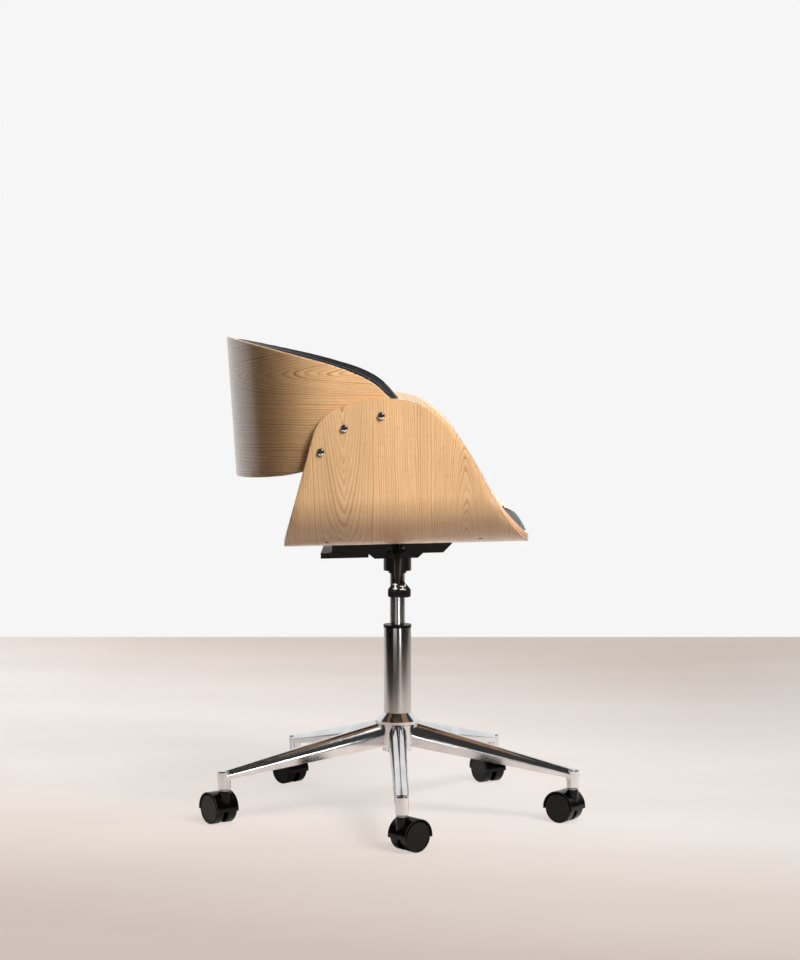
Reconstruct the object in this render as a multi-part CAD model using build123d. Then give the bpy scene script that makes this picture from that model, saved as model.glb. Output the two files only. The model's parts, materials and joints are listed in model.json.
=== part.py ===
from build123d import *
import os
from math import cos, sin, tan, radians, sqrt

# Desk chair: bent plywood seat and back on a gas lift and a five-leg caster base.
# Millimetres. +X is the front, +Y the sitter's left, +Z up.
# The origin is on the floor, under the column.

# fits
press = 0.0               # parts that are pressed or bolted together touch
running = 0.05            # radial clearance of a turning or sliding fit
loose = 0.3               # clearance between pieces that only pass each other

# seat placing
seat_bottom = 513.0       # underside of the seat shell over the column, lift fully out
seat_tilt = 1.4           # fall of the seat towards its back, degrees

# seat shell
ply = 12.0
half_width = 270.0        # to the outer face of a wing
bend_radius = 88.0        # outer radius between the seat and a wing
shell_front = 229.0
wing_top = 257.0
wing_rear_low = (-199.2, -4.0)      # outline of a wing, (x, z) over the seat's underside
wing_rear_high = (-140.0, 196.0)
wing_corner_end = (-97.0, 242.5)
wing_curve = [(-15.0, wing_top), (60.5, 239.0), (124.0, 170.0), (166.0, 94.0), (188.0, 47.0)]
wing_slope_end = (0.93, -0.37)       # direction of the curve where it reaches the front
wing_foot_drop = 4.0                 # the cutting outline passes below the seat by this
wing_room = 50.0                     # the uncut wings stand higher than wing_top by this

# backrest
back_straight = -112.0    # the sides run straight from the front back to here
back_rear_low = -290.2    # rear of the outer face at back_low
back_rear_high = -302.6   # rear of the outer face at back_high
back_low = 100.0
back_high = 400.0
back_front = 40.0         # the uncut band runs forward to here
back_top = [(-340.0, 381.0), (-266.0, 362.0), (-159.0, 332.0), (-90.0, 310.5), (-46.0, 290.5), (-25.0, 276.0)]
back_top_end = (-6.0, 257.6)
back_tip = (6.0, 232.0)
back_under_end = (-12.0, 207.0)
back_under = [(-340.0, 117.0), (-228.0, 123.0), (-150.0, 136.5), (-105.0, 157.0), (-60.0, 185.0)]
back_round = 1.6          # rounding of the band's edges
pad_thickness = 24.0
pad_edge_thickness = 19.0
pad_edge_round = 9.0
pad_rise = 3.0            # the pad starts this far over the wood's lower edge
pad_front = 8.0
pad_front_half = 6.0      # half the pad's height at its front end
pad_behind = 8.0          # the sections start this far behind the wood's inner face
pad_clear = 0.2
pad_proud_rear = 5.0      # the pad stands over the wood's top edge by this at the rear
pad_proud_front = 13.0    # and by this at the front ends

# wing bolts, on the wing's face
bolt_places = [(-21.6, 227.7), (-85.3, 207.9), (-126.6, 168.2)]
bolt_d = 6.0
bolt_head_d = 14.0
bolt_head_h = 4.6
bolt_head_edge = 0.8      # upright rim of the domed head
bolt_head_flat_d = 6.4    # flat round the socket
bolt_socket_depth = 2.4
bolt_end_room = 0.5       # the bolt ends this far inside the tee nut
tee_start = 2.0           # the nut's barrel starts this far inside its panel
bolt_socket = 4.0
tee_barrel_d = 9.0
tee_flange_d = 18.0
tee_flange_h = 1.5

# cushion
board_thickness = 5.0
board_edge_height = 31.0  # the board follows the bend up to here
board_inset = 17.0        # from the cushion's ends to the board's
board_shift = -4.0
board_corner = 45.0       # radius of its corners
cushion_front = 229.0
cushion_rear = -186.0
cushion_side_room = 20.0  # between the cushion's side and the board's outer bend
cushion_side_h = 25.8     # thickness at the sides
cushion_crown_h = 36.8    # thickness at the middle
cushion_side_round = 12.0
screw_d = 3.6
screw_head_d = 7.0
screw_angle = 26.0        # place of the cushion screws round the bend
screw_rows = (-122.0, 145.0)
screw_length = 16.0
screw_cone = 2.2          # depth of the countersunk head
screw_sink = 0.6          # the head lies this far under the wood's face
screw_fit = 0.1

# mechanism
plate_sheet = 3.0
plate_half_width = 75.0
plate_rear = -118.0
plate_front = 98.0
flange_end_depth = 27.5
flange_mid_depth = 36.0
plate_bolt_x = (-90.0, 72.0)
plate_bolt_y = 52.0
plate_bolt_head_d = 11.0
plate_bolt_head_h = 5.0
plate_nose = 12.0         # upright front end of the flange
plate_nose_run = 16.0     # length of its slope
flange_mid_x = (-42.0, 36.0)
flange_slope = 10.0
flange_slot_x = (-16.0, 11.0)
flange_slot_drop = 22.0
flange_slot_size = (11.0, 5.0)
channel_rear = -139.0
channel_front = -53.0
channel_thickness = 6.0
channel_lip_height = 4.0
channel_lip_gap = 2.0     # between the upturned end and the plate's rear
socket_drop = 5.0         # from the lever's eye to the socket's top
socket_d = 51.0
socket_height = 45.0
socket_lip = 2.5          # wall of the lip below the socket
socket_lip_height = 5.0
socket_web_drop = 2.0     # the cross member that carries the socket lies this far below its top
socket_web_height = 8.0
socket_web_length = 70.0

# lever
lever_pivot_y = -35.0
lever_pivot_drop = 13.0   # pivot below the seat's underside
lever_eye_r = 7.0
lever_d = 10.0
lever_end_y = 8.0
lever_bend_y = -62.0
lever_tip_y = -186.0
lever_droop = 26.0        # degrees
lever_bend_r = 18.0
pivot_d = 5.0
pivot_over = 1.5          # the pin stands out of its ears by this
ear_margin = 0.5
lever_eye_width = 13.0
lever_swing = 6.0         # degrees, lifting the paddle
lever_gap = 3.0           # room round the rod where it leaves the tray
paddle_x = 3.5
paddle_width = 40.0
paddle_inner_width = 15.0
paddle_inner_y = -163.0
paddle_outer_y = -221.0
paddle_thickness = 9.0
paddle_slope = 17.0       # degrees
paddle_straight = 20.0      # length of its parallel sides
paddle_round = 8.0
paddle_lip = 3.0
paddle_neck_width = 16.0
paddle_neck_height = 12.0
paddle_sink = 2.5         # the paddle's middle line lies this far below the rod's end

# gas lift
cylinder_d = 28.0
cylinder_wall = 1.8
cylinder_rise = 1.0       # the cylinder ends this far over its socket
cylinder_cap = 12.0
seal_height = 15.0
taper_end_d = 26.0
rod_d = 10.0
rod_end_d = 8.0
piston_height = 12.0
piston_over = 4.0         # the rod reaches this far over the piston's middle
cylinder_lift = 1.0       # the cylinder ends this far below its bush
piston_rest = 5.0         # room between the seal and the piston with the lift fully out
stroke = 88.0
stroke_room = 7.0         # room between the socket and the bush with the lift fully in
pin_d = 6.0
pin_gap = 0.5             # between the valve pin and the lever
pin_depth = 14.0

# column and hub
column_d = 50.0
column_wall = 1.5
column_bottom = 118.0
column_end_d = 46.0
column_plate = 3.0
bush_flange = 0.75        # the bush's flange stands this far outside the column
bush_flange_h = 5.0
bush_length = 72.0
bearing_ball_d = 5.0
bearing_balls = 10
bearing_circle_d = 18.0
bearing_washer_d = 26.0
bearing_washer_h = 2.0
rod_over = 4.0            # the rod's end stands out below the end plate by this
clip_d = 15.0
clip_h = 2.0
hub_wall = 11.0
hub_top_wall = 1.5
hub_rim_wall = 16.0
hub_ring_wall = 3.5
hub_top = 186.0
hub_rim_top = 172.0
hub_rim_bottom = 167.0
hub_bottom = 128.0
hub_ring_bottom = 115.0
hub_chamfer = 3.0

# legs
leg_count = 5
leg_turn = 1.4            # turn of the whole base about the column, degrees
stem_circle = 330.0       # radius of the caster stems
leg_root_top = 170.5
leg_root_bottom = 126.0
leg_tip_top = 98.0
leg_tip_bottom = 82.0
leg_root_width = 33.0
leg_tip_width = 24.0
leg_wall = 3.0
leg_sink = 8.0            # the leg is cut to the hub from this far inside it
leg_round_share = 0.6     # share of the leg's height that is rounded
leg_end_drop = 1.0        # the rounded end lies this far below the leg's top
leg_end_round = 2.5
leg_cap_drop = 6.0
leg_cap_d = 22.6
leg_cap_length = 33.0     # of the upright socket, from the leg's top down
sleeve_wall = 2.0
sleeve_flange_d = 20.0
sleeve_flange_h = 1.5
sleeve_roof = 7.5         # metal over the sleeve
sleeve_cap = 1.0
stem_end_room = 2.0

# casters
wheel_r = 27.0
wheel_width = 18.0
wheel_gap = 4.6           # from the caster's middle to the inner face of a wheel
trail = 18.0
hood_r = 30.8
hood_wall = 2.4
hood_half_width = 22.6
web_half_width = 4.0
hood_low = 3.0            # the hood ends this far below the axle
boss_d = 21.0
boss_floor = 4.0
stem_d = 11.0
stem_foot = 30.0
stem_foot_d = 8.0         # the stem is thinner between the wheels
stem_collar_d = 16.0
stem_collar_h = 2.7
axle_d = 6.0
axle_cap = 3.0            # the axle ends this far inside the wheel's outer face
axle_lug_r = 8.0
wheel_inner_edge = 2.0
wheel_outer_edge = (1.5, 2.0)        # radial and axial size of the tread's outer slope
wheel_rim = 3.0                      # from the tread to the rim's inner side
wheel_dish = 0.8                     # depth of the plain face below the rim
wheel_dish_edge = 3.8
caster_headings = [40.0, 143.0, 122.0, 134.0, 128.0]   # trail direction of each caster

seat_frame = Location((0, 0, seat_bottom), (0, -seat_tilt, 0))
reach = 400.0             # half length of the blocks that cut an outline

# heights that follow from the seat's height, from the top down
lever_pivot_z = seat_bottom - lever_pivot_drop
socket_top = lever_pivot_z - lever_eye_r - socket_drop
socket_bottom = socket_top - socket_height
cylinder_top = socket_top + cylinder_rise
pin_top = lever_pivot_z - lever_d / 2 - pin_gap
column_top = socket_bottom - stroke - stroke_room - bush_flange_h
cylinder_bottom = column_top - bush_length - cylinder_lift
piston_z = cylinder_bottom + seal_height + piston_rest + piston_height / 2
column_taper_top = hub_top
hub_top_r = column_d / 2 + hub_top_wall
hub_rim_r = column_d / 2 + hub_rim_wall
hub_r = column_d / 2 + hub_wall
hub_ring_r = column_end_d / 2 + hub_ring_wall

# heights of the caster socket, from the leg's end down
leg_socket_bottom = leg_tip_top - leg_cap_length
sleeve_bottom = leg_socket_bottom - sleeve_flange_h
sleeve_top = leg_tip_top - sleeve_roof
sleeve_d = stem_d + 2 * running + 2 * sleeve_wall
stem_top = sleeve_top - stem_end_room
boss_top = sleeve_bottom - loose - stem_collar_h
wheel_room = 0.9          # between a wheel's tread and what covers it
stem_step = wheel_r + sqrt((wheel_r + wheel_room) ** 2 - (trail - stem_d / 2) ** 2) + 1.0


def side_block(edges):
    """A long block along Y with the outline drawn in the XZ plane."""
    return extrude(Plane.XZ * make_face(edges), amount=reach, both=True)


def turned(points):
    """A solid of revolution about Z from (radius, height) corners."""
    return revolve(Plane.XZ * make_face(Polyline(*points, close=True)), Axis.Z)


def disc(diameter, low, high):
    """An upright cylinder about Z between two heights."""
    rod = Cylinder(diameter / 2, high - low, align=(Align.CENTER, Align.CENTER, Align.MIN))
    return Pos(0, 0, low) * rod


def between(points, x):
    """Height of a line through (x, z) points, by straight steps."""
    for (x0, z0), (x1, z1) in zip(points, points[1:]):
        if x0 <= x <= x1:
            return z0 + (z1 - z0) * (x - x0) / (x1 - x0)
    return points[0][1] if x < points[0][0] else points[-1][1]


def trough(inset):
    """The space inside the seat shell's outer face, moved in by inset."""
    box = Rectangle(2 * (half_width - inset), wing_top + wing_room, align=(Align.CENTER, Align.MIN))
    corners = box.vertices().sort_by(Axis.Y)[:2]
    rounded = fillet(corners, bend_radius - inset)
    return Pos(0, 0, inset) * extrude(Plane.YZ * rounded, amount=reach, both=True)


# Seat shell: one U bend of plywood, its wings cut to a long falling curve.
wing_tip = (shell_front, ply)
wing_foot = (shell_front, -wing_foot_drop)
rear_edge = Line(wing_rear_low, wing_rear_high)
rear_corner = TangentArc(wing_rear_high, wing_corner_end, tangent=rear_edge % 1)
front_curve = Spline(wing_corner_end, *wing_curve, wing_tip, tangents=(rear_corner % 1, wing_slope_end))
wing_edges = [
    rear_edge,
    rear_corner,
    front_curve,
    Line(wing_tip, wing_foot),
    Line(wing_foot, wing_rear_low),
]
seat_shell = (trough(press) - trough(ply)) & side_block(wing_edges)


# Backrest shell: a wall round the sitter, straight at its ends and elliptical behind.
def back_plan(inset, rear):
    """Corner-free plan of the backrest's space at one height."""
    half = half_width - ply - inset
    depth = back_straight - rear - inset
    front = back_front
    left = EllipticalCenterArc((back_straight, 0), depth, half, start_angle=90, arc_size=90)
    right = EllipticalCenterArc((back_straight, 0), depth, half, start_angle=180, arc_size=90)
    sides = [
        Line((front, half), (back_straight, half)),
        left,
        right,
        Line((back_straight, -half), (front, -half)),
        Line((front, -half), (front, half)),
    ]
    return make_face(sides)


def back_core(inset):
    """The space inside the backrest's outer face, moved in by inset."""
    low = Pos(0, 0, back_low) * back_plan(inset, back_rear_low)
    high = Pos(0, 0, back_high) * back_plan(inset, back_rear_high)
    return loft([low, high], ruled=True)


tip_arc = ThreePointArc(back_top_end, back_tip, back_under_end)
top_edge = Spline(*back_top, back_top_end, tangents=((0.97, -0.24), tip_arc % 0))
under_edge = Spline(*back_under, back_under_end, tangents=((1, 0.02), (tip_arc % 1) * -1))
back_edges = [top_edge, tip_arc, under_edge, Line(back_under[0], back_top[0])]
backrest_shell = (back_core(press) - back_core(ply)) & side_block(back_edges)
backrest_shell = fillet(backrest_shell.edges(), back_round)


# Back pad: a crowned band on the inside of the backrest, thin and rounded at its edges.
def pad_section(x, half_turn, side):
    """Section of the pad across its band: at x on the straight part, or at an angle round the ellipse."""
    half = half_width - 2 * ply
    depth = back_straight - (back_rear_low + back_rear_high) / 2 - ply
    if half_turn is None:
        place = (x, side * half)
        inward = (0, -side)
    else:
        turn = radians(half_turn)
        place = (back_straight - depth * sin(turn), side * half * cos(turn))
        slope = (sin(turn) / depth, -side * cos(turn) / half)
        size = sqrt(slope[0] ** 2 + slope[1] ** 2)
        inward = (slope[0] / size, slope[1] / size)
    share = (place[0] - back_rear_low) / (0 - back_rear_low)
    proud = pad_proud_rear + (pad_proud_front - pad_proud_rear) * max(0, min(1, share))
    front_high = (pad_front, back_tip[1] + pad_front_half)
    front_low = (pad_front, back_tip[1] - pad_front_half)
    high = between(back_top + [back_top_end, front_high], place[0]) + proud
    low = between(back_under + [back_under_end, front_low], place[0]) + pad_rise
    middle = (high + low) / 2
    edge = min(pad_edge_round, (high - low) / 4)
    face = pad_edge_thickness
    back = -pad_behind
    origin = (place[0], place[1], 0)
    plane = Plane(origin=origin, x_dir=(inward[0], inward[1], 0), z_dir=(inward[1], -inward[0], 0))
    outline = [
        Line((back, low), (back, high)),
        Line((back, high), (face - edge, high)),
        ThreePointArc((face - edge, high), (face - edge * 0.3, high - edge * 0.3), (face, high - edge)),
        ThreePointArc((face, high - edge), (pad_thickness, middle), (face, low + edge)),
        ThreePointArc((face, low + edge), (face - edge * 0.3, low + edge * 0.3), (face - edge, low)),
        Line((face - edge, low), (back, low)),
    ]
    return plane * make_face(outline)


pad_sides = [pad_front, back_under_end[0], -45.0, -80.0, back_straight]
pad_turns = [20.0, 40.0, 60.0, 80.0]
pad_rows = [pad_section(x, None, -1) for x in pad_sides]
pad_rows += [pad_section(None, turn, -1) for turn in pad_turns]
pad_rows += [pad_section(None, turn, 1) for turn in reversed(pad_turns)]
pad_rows += [pad_section(x, None, 1) for x in reversed(pad_sides)]
backrest_pad = loft(pad_rows) & back_core(ply + pad_clear)


# Wing bolts run through wing and backrest into flanged tee nuts behind the pad.
def on_wings(piece):
    """The piece at each bolt place on both wings, drawn along +Z, outward, from the wing's face."""
    right = Location((0, -half_width, 0), (90, 0, 0))
    left = Location((0, half_width, 0), (-90, 0, 0))
    return [Pos(x, 0, z) * side * piece for side in (right, left) for x, z in bolt_places]


through = 2 * ply
tee_top = -ply - tee_start
tee_flange_top = -through + tee_flange_h
bolt_hole = disc(bolt_d + 2 * loose, -2 * through, bolt_head_edge)
tee_hole = disc(tee_barrel_d, -through - tee_flange_h, tee_top)
tee_hole = tee_hole + disc(tee_flange_d + 2 * loose, -2 * through, tee_flange_top)
seat_shell = seat_shell - on_wings(bolt_hole)
backrest_shell = backrest_shell - on_wings(bolt_hole) - on_wings(tee_hole)
head_rim = (bolt_head_d / 2, bolt_head_edge)
head_flat = (bolt_head_flat_d / 2, bolt_head_h)
head_outline = [
    Line((0, 0), (bolt_head_d / 2, 0)),
    Line((bolt_head_d / 2, 0), head_rim),
    TangentArc(head_rim, head_flat, tangent=(-0.25, 1)),
    Line(head_flat, (0, bolt_head_h)),
    Line((0, bolt_head_h), (0, 0)),
]
bolt_crown = revolve(Plane.XZ * make_face(head_outline), Axis.Z)
hex_key = extrude(RegularPolygon(bolt_socket / 2, 6, major_radius=False), bolt_head_h)
hex_key = Pos(0, 0, bolt_head_h - bolt_socket_depth) * hex_key
wing_bolt = bolt_crown + disc(bolt_d, -through + bolt_end_room, 0) - hex_key
tee_nut = disc(tee_flange_d, -through, tee_flange_top) + disc(tee_barrel_d, -through, tee_top)
tee_nut = tee_nut - disc(bolt_d, -2 * through, 0)
shell_bolts = on_wings(wing_bolt)
shell_tee_nuts = on_wings(tee_nut)

# Cushion board: thin curved plywood that lies in the trough of the seat.
board_length = cushion_front - cushion_rear - 2 * board_inset
board_middle = (cushion_front + cushion_rear) / 2 + board_shift
board_width = 2 * (half_width - ply)
board_plan = RectangleRounded(board_length, board_width, board_corner)
board_block = Pos(board_middle, 0, 0) * extrude(board_plan, amount=board_edge_height, both=True)
cushion_board = (trough(ply) - trough(ply + board_thickness)) & board_block


# Cushion: a crowned pad, drawn in at its sides, front and back.
def cushion_section(x, inset, foot, side_fall, crown_fall):
    """Section across the seat at x, drawn in at its sides and lower than the middle by the falls."""
    half = cushion_half - inset
    edge = half - cushion_side_round
    low = cushion_base - foot
    side = cushion_base + cushion_side_h - side_fall
    crown = cushion_base + cushion_crown_h - crown_fall
    outline = [
        Line((-edge, low), (edge, low)),
        ThreePointArc((edge, low), (half, (low + side) / 2), (edge, side)),
        ThreePointArc((edge, side), (0, crown), (-edge, side)),
        ThreePointArc((-edge, side), (-half, (low + side) / 2), (-edge, low)),
    ]
    return Pos(x, 0, 0) * (Plane.YZ * make_face(outline))


cushion_base = ply + board_thickness + pad_clear
cushion_half = half_width - ply - board_thickness - cushion_side_room
cushion_rows = [
    cushion_section(cushion_rear, 28.0, 3.0, 14.0, 22.0),
    cushion_section(cushion_rear + 7, 14.0, 5.0, 7.0, 14.0),
    cushion_section(cushion_rear + 30, 3.0, 5.0, 2.0, 6.0),
    cushion_section(cushion_rear + 126, 0.0, 5.0, 0.0, 0.0),
    cushion_section(cushion_front - 169, 0.0, 5.0, 0.0, 0.0),
    cushion_section(cushion_front - 55, 3.0, 5.0, 4.0, 4.5),
    cushion_section(cushion_front - 24, 11.0, 5.0, 12.5, 13.5),
    cushion_section(cushion_front - 6, 25.0, 5.0, 21.5, 27.0),
    cushion_section(cushion_front, 36.0, 3.0, 24.0, 33.0),
]
seat_cushion = loft(cushion_rows) & trough(cushion_base)


# Cushion screws: four, radial in the bend, through the shell into the board.
def on_bends(piece):
    """The piece at each screw place, drawn along +Z, outward, from the shell's outer face."""
    out = bend_radius * sin(radians(screw_angle)) + half_width - bend_radius
    up = bend_radius * (1 - cos(radians(screw_angle)))
    right = [Location((x, -out, up), (180 - screw_angle, 0, 0)) for x in screw_rows]
    left = [Location((x, out, up), (180 + screw_angle, 0, 0)) for x in screw_rows]
    return [place * piece for place in right + left]


def screw_room(fit, above):
    """The hole of a countersunk screw, with a fit round it and room above the head."""
    head = screw_head_d / 2 + fit
    shank = screw_d / 2 + fit
    end = -screw_length - 2 * fit
    return turned([(0, above), (head, above), (head, 0), (shank, -screw_cone - fit), (shank, end), (0, end)])


cushion_screw = turned(
    [
        (0, 0),
        (screw_head_d / 2, 0),
        (screw_d / 2, -screw_cone),
        (screw_d / 2, -screw_length),
        (0, -screw_length),
    ]
)
cushion_screws = on_bends(Pos(0, 0, -screw_sink) * cushion_screw)
screw_holes = on_bends(Pos(0, 0, -screw_sink) * screw_room(screw_fit, screw_cone))
seat_shell = seat_shell - screw_holes
cushion_board = cushion_board - screw_holes

# Mechanism plate: a folded steel tray whose side flanges are deeper round the column.
plate_edges = Polyline(
    (plate_rear, 0),
    (plate_front, 0),
    (plate_front, -plate_nose),
    (plate_front - plate_nose_run, -flange_end_depth),
    (flange_mid_x[1] + flange_slope, -flange_end_depth),
    (flange_mid_x[1], -flange_mid_depth),
    (flange_mid_x[0], -flange_mid_depth),
    (flange_mid_x[0] - flange_slope, -flange_end_depth),
    (plate_rear, -flange_end_depth),
    close=True,
)
plate_body = extrude(Plane.XZ * make_face(plate_edges), amount=plate_half_width, both=True)
tray_width = 2 * (plate_half_width - plate_sheet)
tray_room = Box(2 * reach, tray_width, reach, align=(Align.CENTER, Align.CENTER, Align.MAX))
flange_slot = Rot(90, 0, 0) * extrude(SlotOverall(*flange_slot_size, rotation=90), amount=reach, both=True)
slots = [Pos(x, 0, -flange_slot_drop) * flange_slot for x in flange_slot_x]
mechanism_plate = plate_body - Pos(0, 0, -plate_sheet) * tray_room - slots
plate_places = [Pos(x, y, 0) for x in plate_bolt_x for y in (-plate_bolt_y, plate_bolt_y)]
plate_hole = disc(bolt_d + 2 * loose, -2 * plate_sheet, ply)
seat_tee = disc(tee_barrel_d, tee_start, ply) + disc(tee_flange_d, ply - tee_flange_h, ply)
seat_tee_hole = disc(tee_barrel_d, tee_start, ply) + disc(tee_flange_d + 2 * loose, ply - tee_flange_h, ply)
mechanism_plate = mechanism_plate - [place * plate_hole for place in plate_places]
seat_shell = seat_shell - [place * (plate_hole + seat_tee_hole) for place in plate_places]
plate_bolt = disc(plate_bolt_head_d, -plate_sheet - plate_bolt_head_h, -plate_sheet)
plate_bolt = plate_bolt + disc(bolt_d, -plate_sheet, ply - bolt_end_room)
plate_bolts = [place * plate_bolt for place in plate_places]
seat_tee_nuts = [place * (seat_tee - disc(bolt_d, 0, ply)) for place in plate_places]

# Rear channel: a flat bar under the plate's rear flanges, turned up at its end.
channel_width = 2 * plate_half_width
channel_lip_front = plate_rear - channel_lip_gap
channel_bar = Box(channel_front - channel_rear, channel_width, channel_thickness)
channel_lip = Box(channel_lip_front - channel_rear, channel_width, channel_lip_height)
channel_bar_z = -flange_end_depth - channel_thickness / 2
channel_lip_z = -flange_end_depth + channel_lip_height / 2
channel_bar = Pos((channel_front + channel_rear) / 2, 0, channel_bar_z) * channel_bar
channel_lip = Pos((channel_lip_front + channel_rear) / 2, 0, channel_lip_z) * channel_lip
rear_channel = channel_bar + channel_lip

# Pieces of the seat stand in the tilted seat frame.
seat_shell = seat_frame * seat_shell
backrest_shell = seat_frame * backrest_shell
backrest_pad = seat_frame * backrest_pad
seat_cushion = seat_frame * seat_cushion
cushion_board = seat_frame * cushion_board
rear_channel = seat_frame * rear_channel
mechanism_plate = seat_frame * mechanism_plate

# Taper socket: a welded cup under the plate that holds the gas cylinder's taper.
taper_r = cylinder_d / 2
socket_outline = [
    (taper_r, socket_bottom),
    (taper_r + socket_lip, socket_bottom),
    (taper_r + socket_lip, socket_bottom + socket_lip_height),
    (socket_d / 2, socket_bottom + socket_lip_height),
    (socket_d / 2, socket_top),
    (taper_end_d / 2, socket_top),
]
socket_web_z = socket_top - socket_web_drop - socket_web_height / 2
socket_web = Box(socket_web_length, tray_width, socket_web_height)
socket_web = Pos(0, 0, socket_web_z) * socket_web
taper_socket = turned(socket_outline) + (socket_web - disc(socket_d, socket_bottom, socket_top))

# Lever: a bent rod on a cross pin, its inner end over the valve, with a flat paddle outside.
droop = radians(lever_droop)
tip_z = lever_pivot_z - (lever_bend_y - lever_tip_y) * tan(droop)
rod_end = (0, lever_end_y, lever_pivot_z)
rod_bend = (0, lever_bend_y, lever_pivot_z)
rod_tip = (0, lever_tip_y, tip_z)
rod_path = FilletPolyline(rod_end, rod_bend, rod_tip, radius=lever_bend_r)
rod_start = Plane(origin=rod_end, x_dir=(1, 0, 0), z_dir=(0, -1, 0))
lever_bar = sweep(rod_start * Circle(lever_d / 2), path=rod_path)
pivot_place = Location((0, lever_pivot_y, lever_pivot_z), (0, 90, 0))
lever_eye = pivot_place * Cylinder(lever_eye_r, lever_eye_width)
pivot_hole = pivot_place * Cylinder(pivot_d / 2 + running, 2 * lever_eye_width)
lever_rod = lever_bar + lever_eye - pivot_hole
ear_x = lever_eye_width / 2 + loose + plate_sheet / 2
ear_top = seat_bottom - plate_sheet
ear_r = lever_eye_r + ear_margin
ear_shape = Rectangle(2 * ear_r, ear_top - lever_pivot_z, align=(Align.CENTER, Align.MIN)) + Circle(ear_r)
ear_plane = Plane(origin=(0, lever_pivot_y, lever_pivot_z), x_dir=(0, 1, 0), z_dir=(1, 0, 0))
ear = extrude(ear_plane * ear_shape, amount=plate_sheet / 2, both=True)
under_plate = seat_frame * Pos(0, 0, -plate_sheet) * tray_room
lever_bracket = [(Pos(x, 0, 0) * ear) & under_plate for x in (-ear_x, ear_x)]
lever_pin = pivot_place * Cylinder(pivot_d / 2, 2 * ear_x + plate_sheet + 2 * pivot_over)
lever_bracket = [piece - lever_pin for piece in lever_bracket]

paddle_length = paddle_inner_y - paddle_outer_y
paddle_shape = Polyline(
    (-paddle_width / 2, -paddle_length / 2),
    (paddle_width / 2, -paddle_length / 2),
    (paddle_width / 2, -paddle_length / 2 + paddle_straight),
    (paddle_inner_width / 2, paddle_length / 2),
    (-paddle_inner_width / 2, paddle_length / 2),
    (-paddle_width / 2, -paddle_length / 2 + paddle_straight),
    close=True,
)
paddle_shape = make_face(paddle_shape)
paddle_shape = fillet(paddle_shape.vertices().sort_by(Axis.Y)[:4], paddle_round)
paddle_flat = extrude(paddle_shape, amount=paddle_thickness / 2, both=True)
paddle_flat = fillet(paddle_flat.edges().group_by(Axis.Z)[-1], paddle_lip)
neck_shape = RectangleRounded(paddle_neck_width, 2 * paddle_neck_width, paddle_neck_width / 4)
paddle_neck = extrude(neck_shape, amount=paddle_neck_height / 2, both=True)
paddle_neck = Pos(-paddle_x, paddle_length / 2, 0) * paddle_neck
paddle_y = (paddle_inner_y + paddle_outer_y) / 2
paddle_z = tip_z - paddle_sink + (paddle_y - lever_tip_y) * tan(radians(paddle_slope))
paddle_place = Location((paddle_x, paddle_y, paddle_z), (paddle_slope, 0, 0))
lever_handle = paddle_place * (paddle_flat + paddle_neck) - lever_bar
gap_reach = plate_half_width + lever_bend_y
gap_fall = gap_reach * tan(droop)
gap_rise = (plate_half_width + lever_pivot_y) * sin(radians(lever_swing))
gap_low = lever_pivot_z - gap_fall - lever_d / 2 - lever_gap
gap_high = lever_pivot_z - gap_fall + lever_d / 2 + gap_rise + lever_gap
flange_gap = Box(lever_d + 2 * lever_gap, 4 * plate_sheet, gap_high - gap_low)
flange_gap = Pos(0, -plate_half_width, (gap_low + gap_high) / 2) * flange_gap
mechanism_plate = mechanism_plate - flange_gap

# Gas lift: cylinder with a taper above, rod and piston inside, valve pin on top.
cylinder_r = cylinder_d / 2
bore_r = cylinder_r - cylinder_wall
cylinder_outline = [
    (0, cylinder_top),
    (taper_end_d / 2, cylinder_top),
    (taper_end_d / 2, socket_top),
    (cylinder_r, socket_bottom),
    (cylinder_r, cylinder_bottom),
    (bore_r, cylinder_bottom),
    (bore_r, cylinder_top - cylinder_cap),
    (0, cylinder_top - cylinder_cap),
]
gas_cylinder = turned(cylinder_outline)
gas_cylinder = gas_cylinder - disc(pin_d + 2 * running, cylinder_top - cylinder_cap, cylinder_top)
valve_pin = disc(pin_d, cylinder_top - pin_depth, pin_top)
seal_high = cylinder_bottom + seal_height
cylinder_seal = disc(2 * bore_r, cylinder_bottom, seal_high)
cylinder_seal = cylinder_seal - disc(rod_d + 2 * running, cylinder_bottom, seal_high)
bearing_low = column_bottom + column_plate
washer_low = bearing_low + bearing_ball_d + running
rod_shoulder = washer_low + bearing_washer_h
rod_foot = column_bottom - rod_over
rod_top = piston_z + piston_over
piston_rod = disc(rod_d, rod_shoulder, rod_top) + disc(rod_end_d, rod_foot, rod_shoulder)
piston_head = disc(2 * bore_r - 2 * running, piston_z - piston_height / 2, piston_z + piston_height / 2)
piston_head = piston_head - disc(rod_d, piston_z - piston_height / 2, rod_top)
bearing_washer = disc(bearing_washer_d, washer_low, rod_shoulder)
bearing_washer = bearing_washer - disc(rod_end_d, washer_low, rod_shoulder)
clip_top = column_bottom - running
rod_clip = disc(clip_d, clip_top - clip_h, clip_top) - disc(rod_end_d, clip_top - clip_h, clip_top)
ball_z = bearing_low + bearing_ball_d / 2
ball_places = PolarLocations(bearing_circle_d / 2, bearing_balls)
bearing_ball_ring = [Pos(0, 0, ball_z) * place * Sphere(bearing_ball_d / 2) for place in ball_places]

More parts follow.
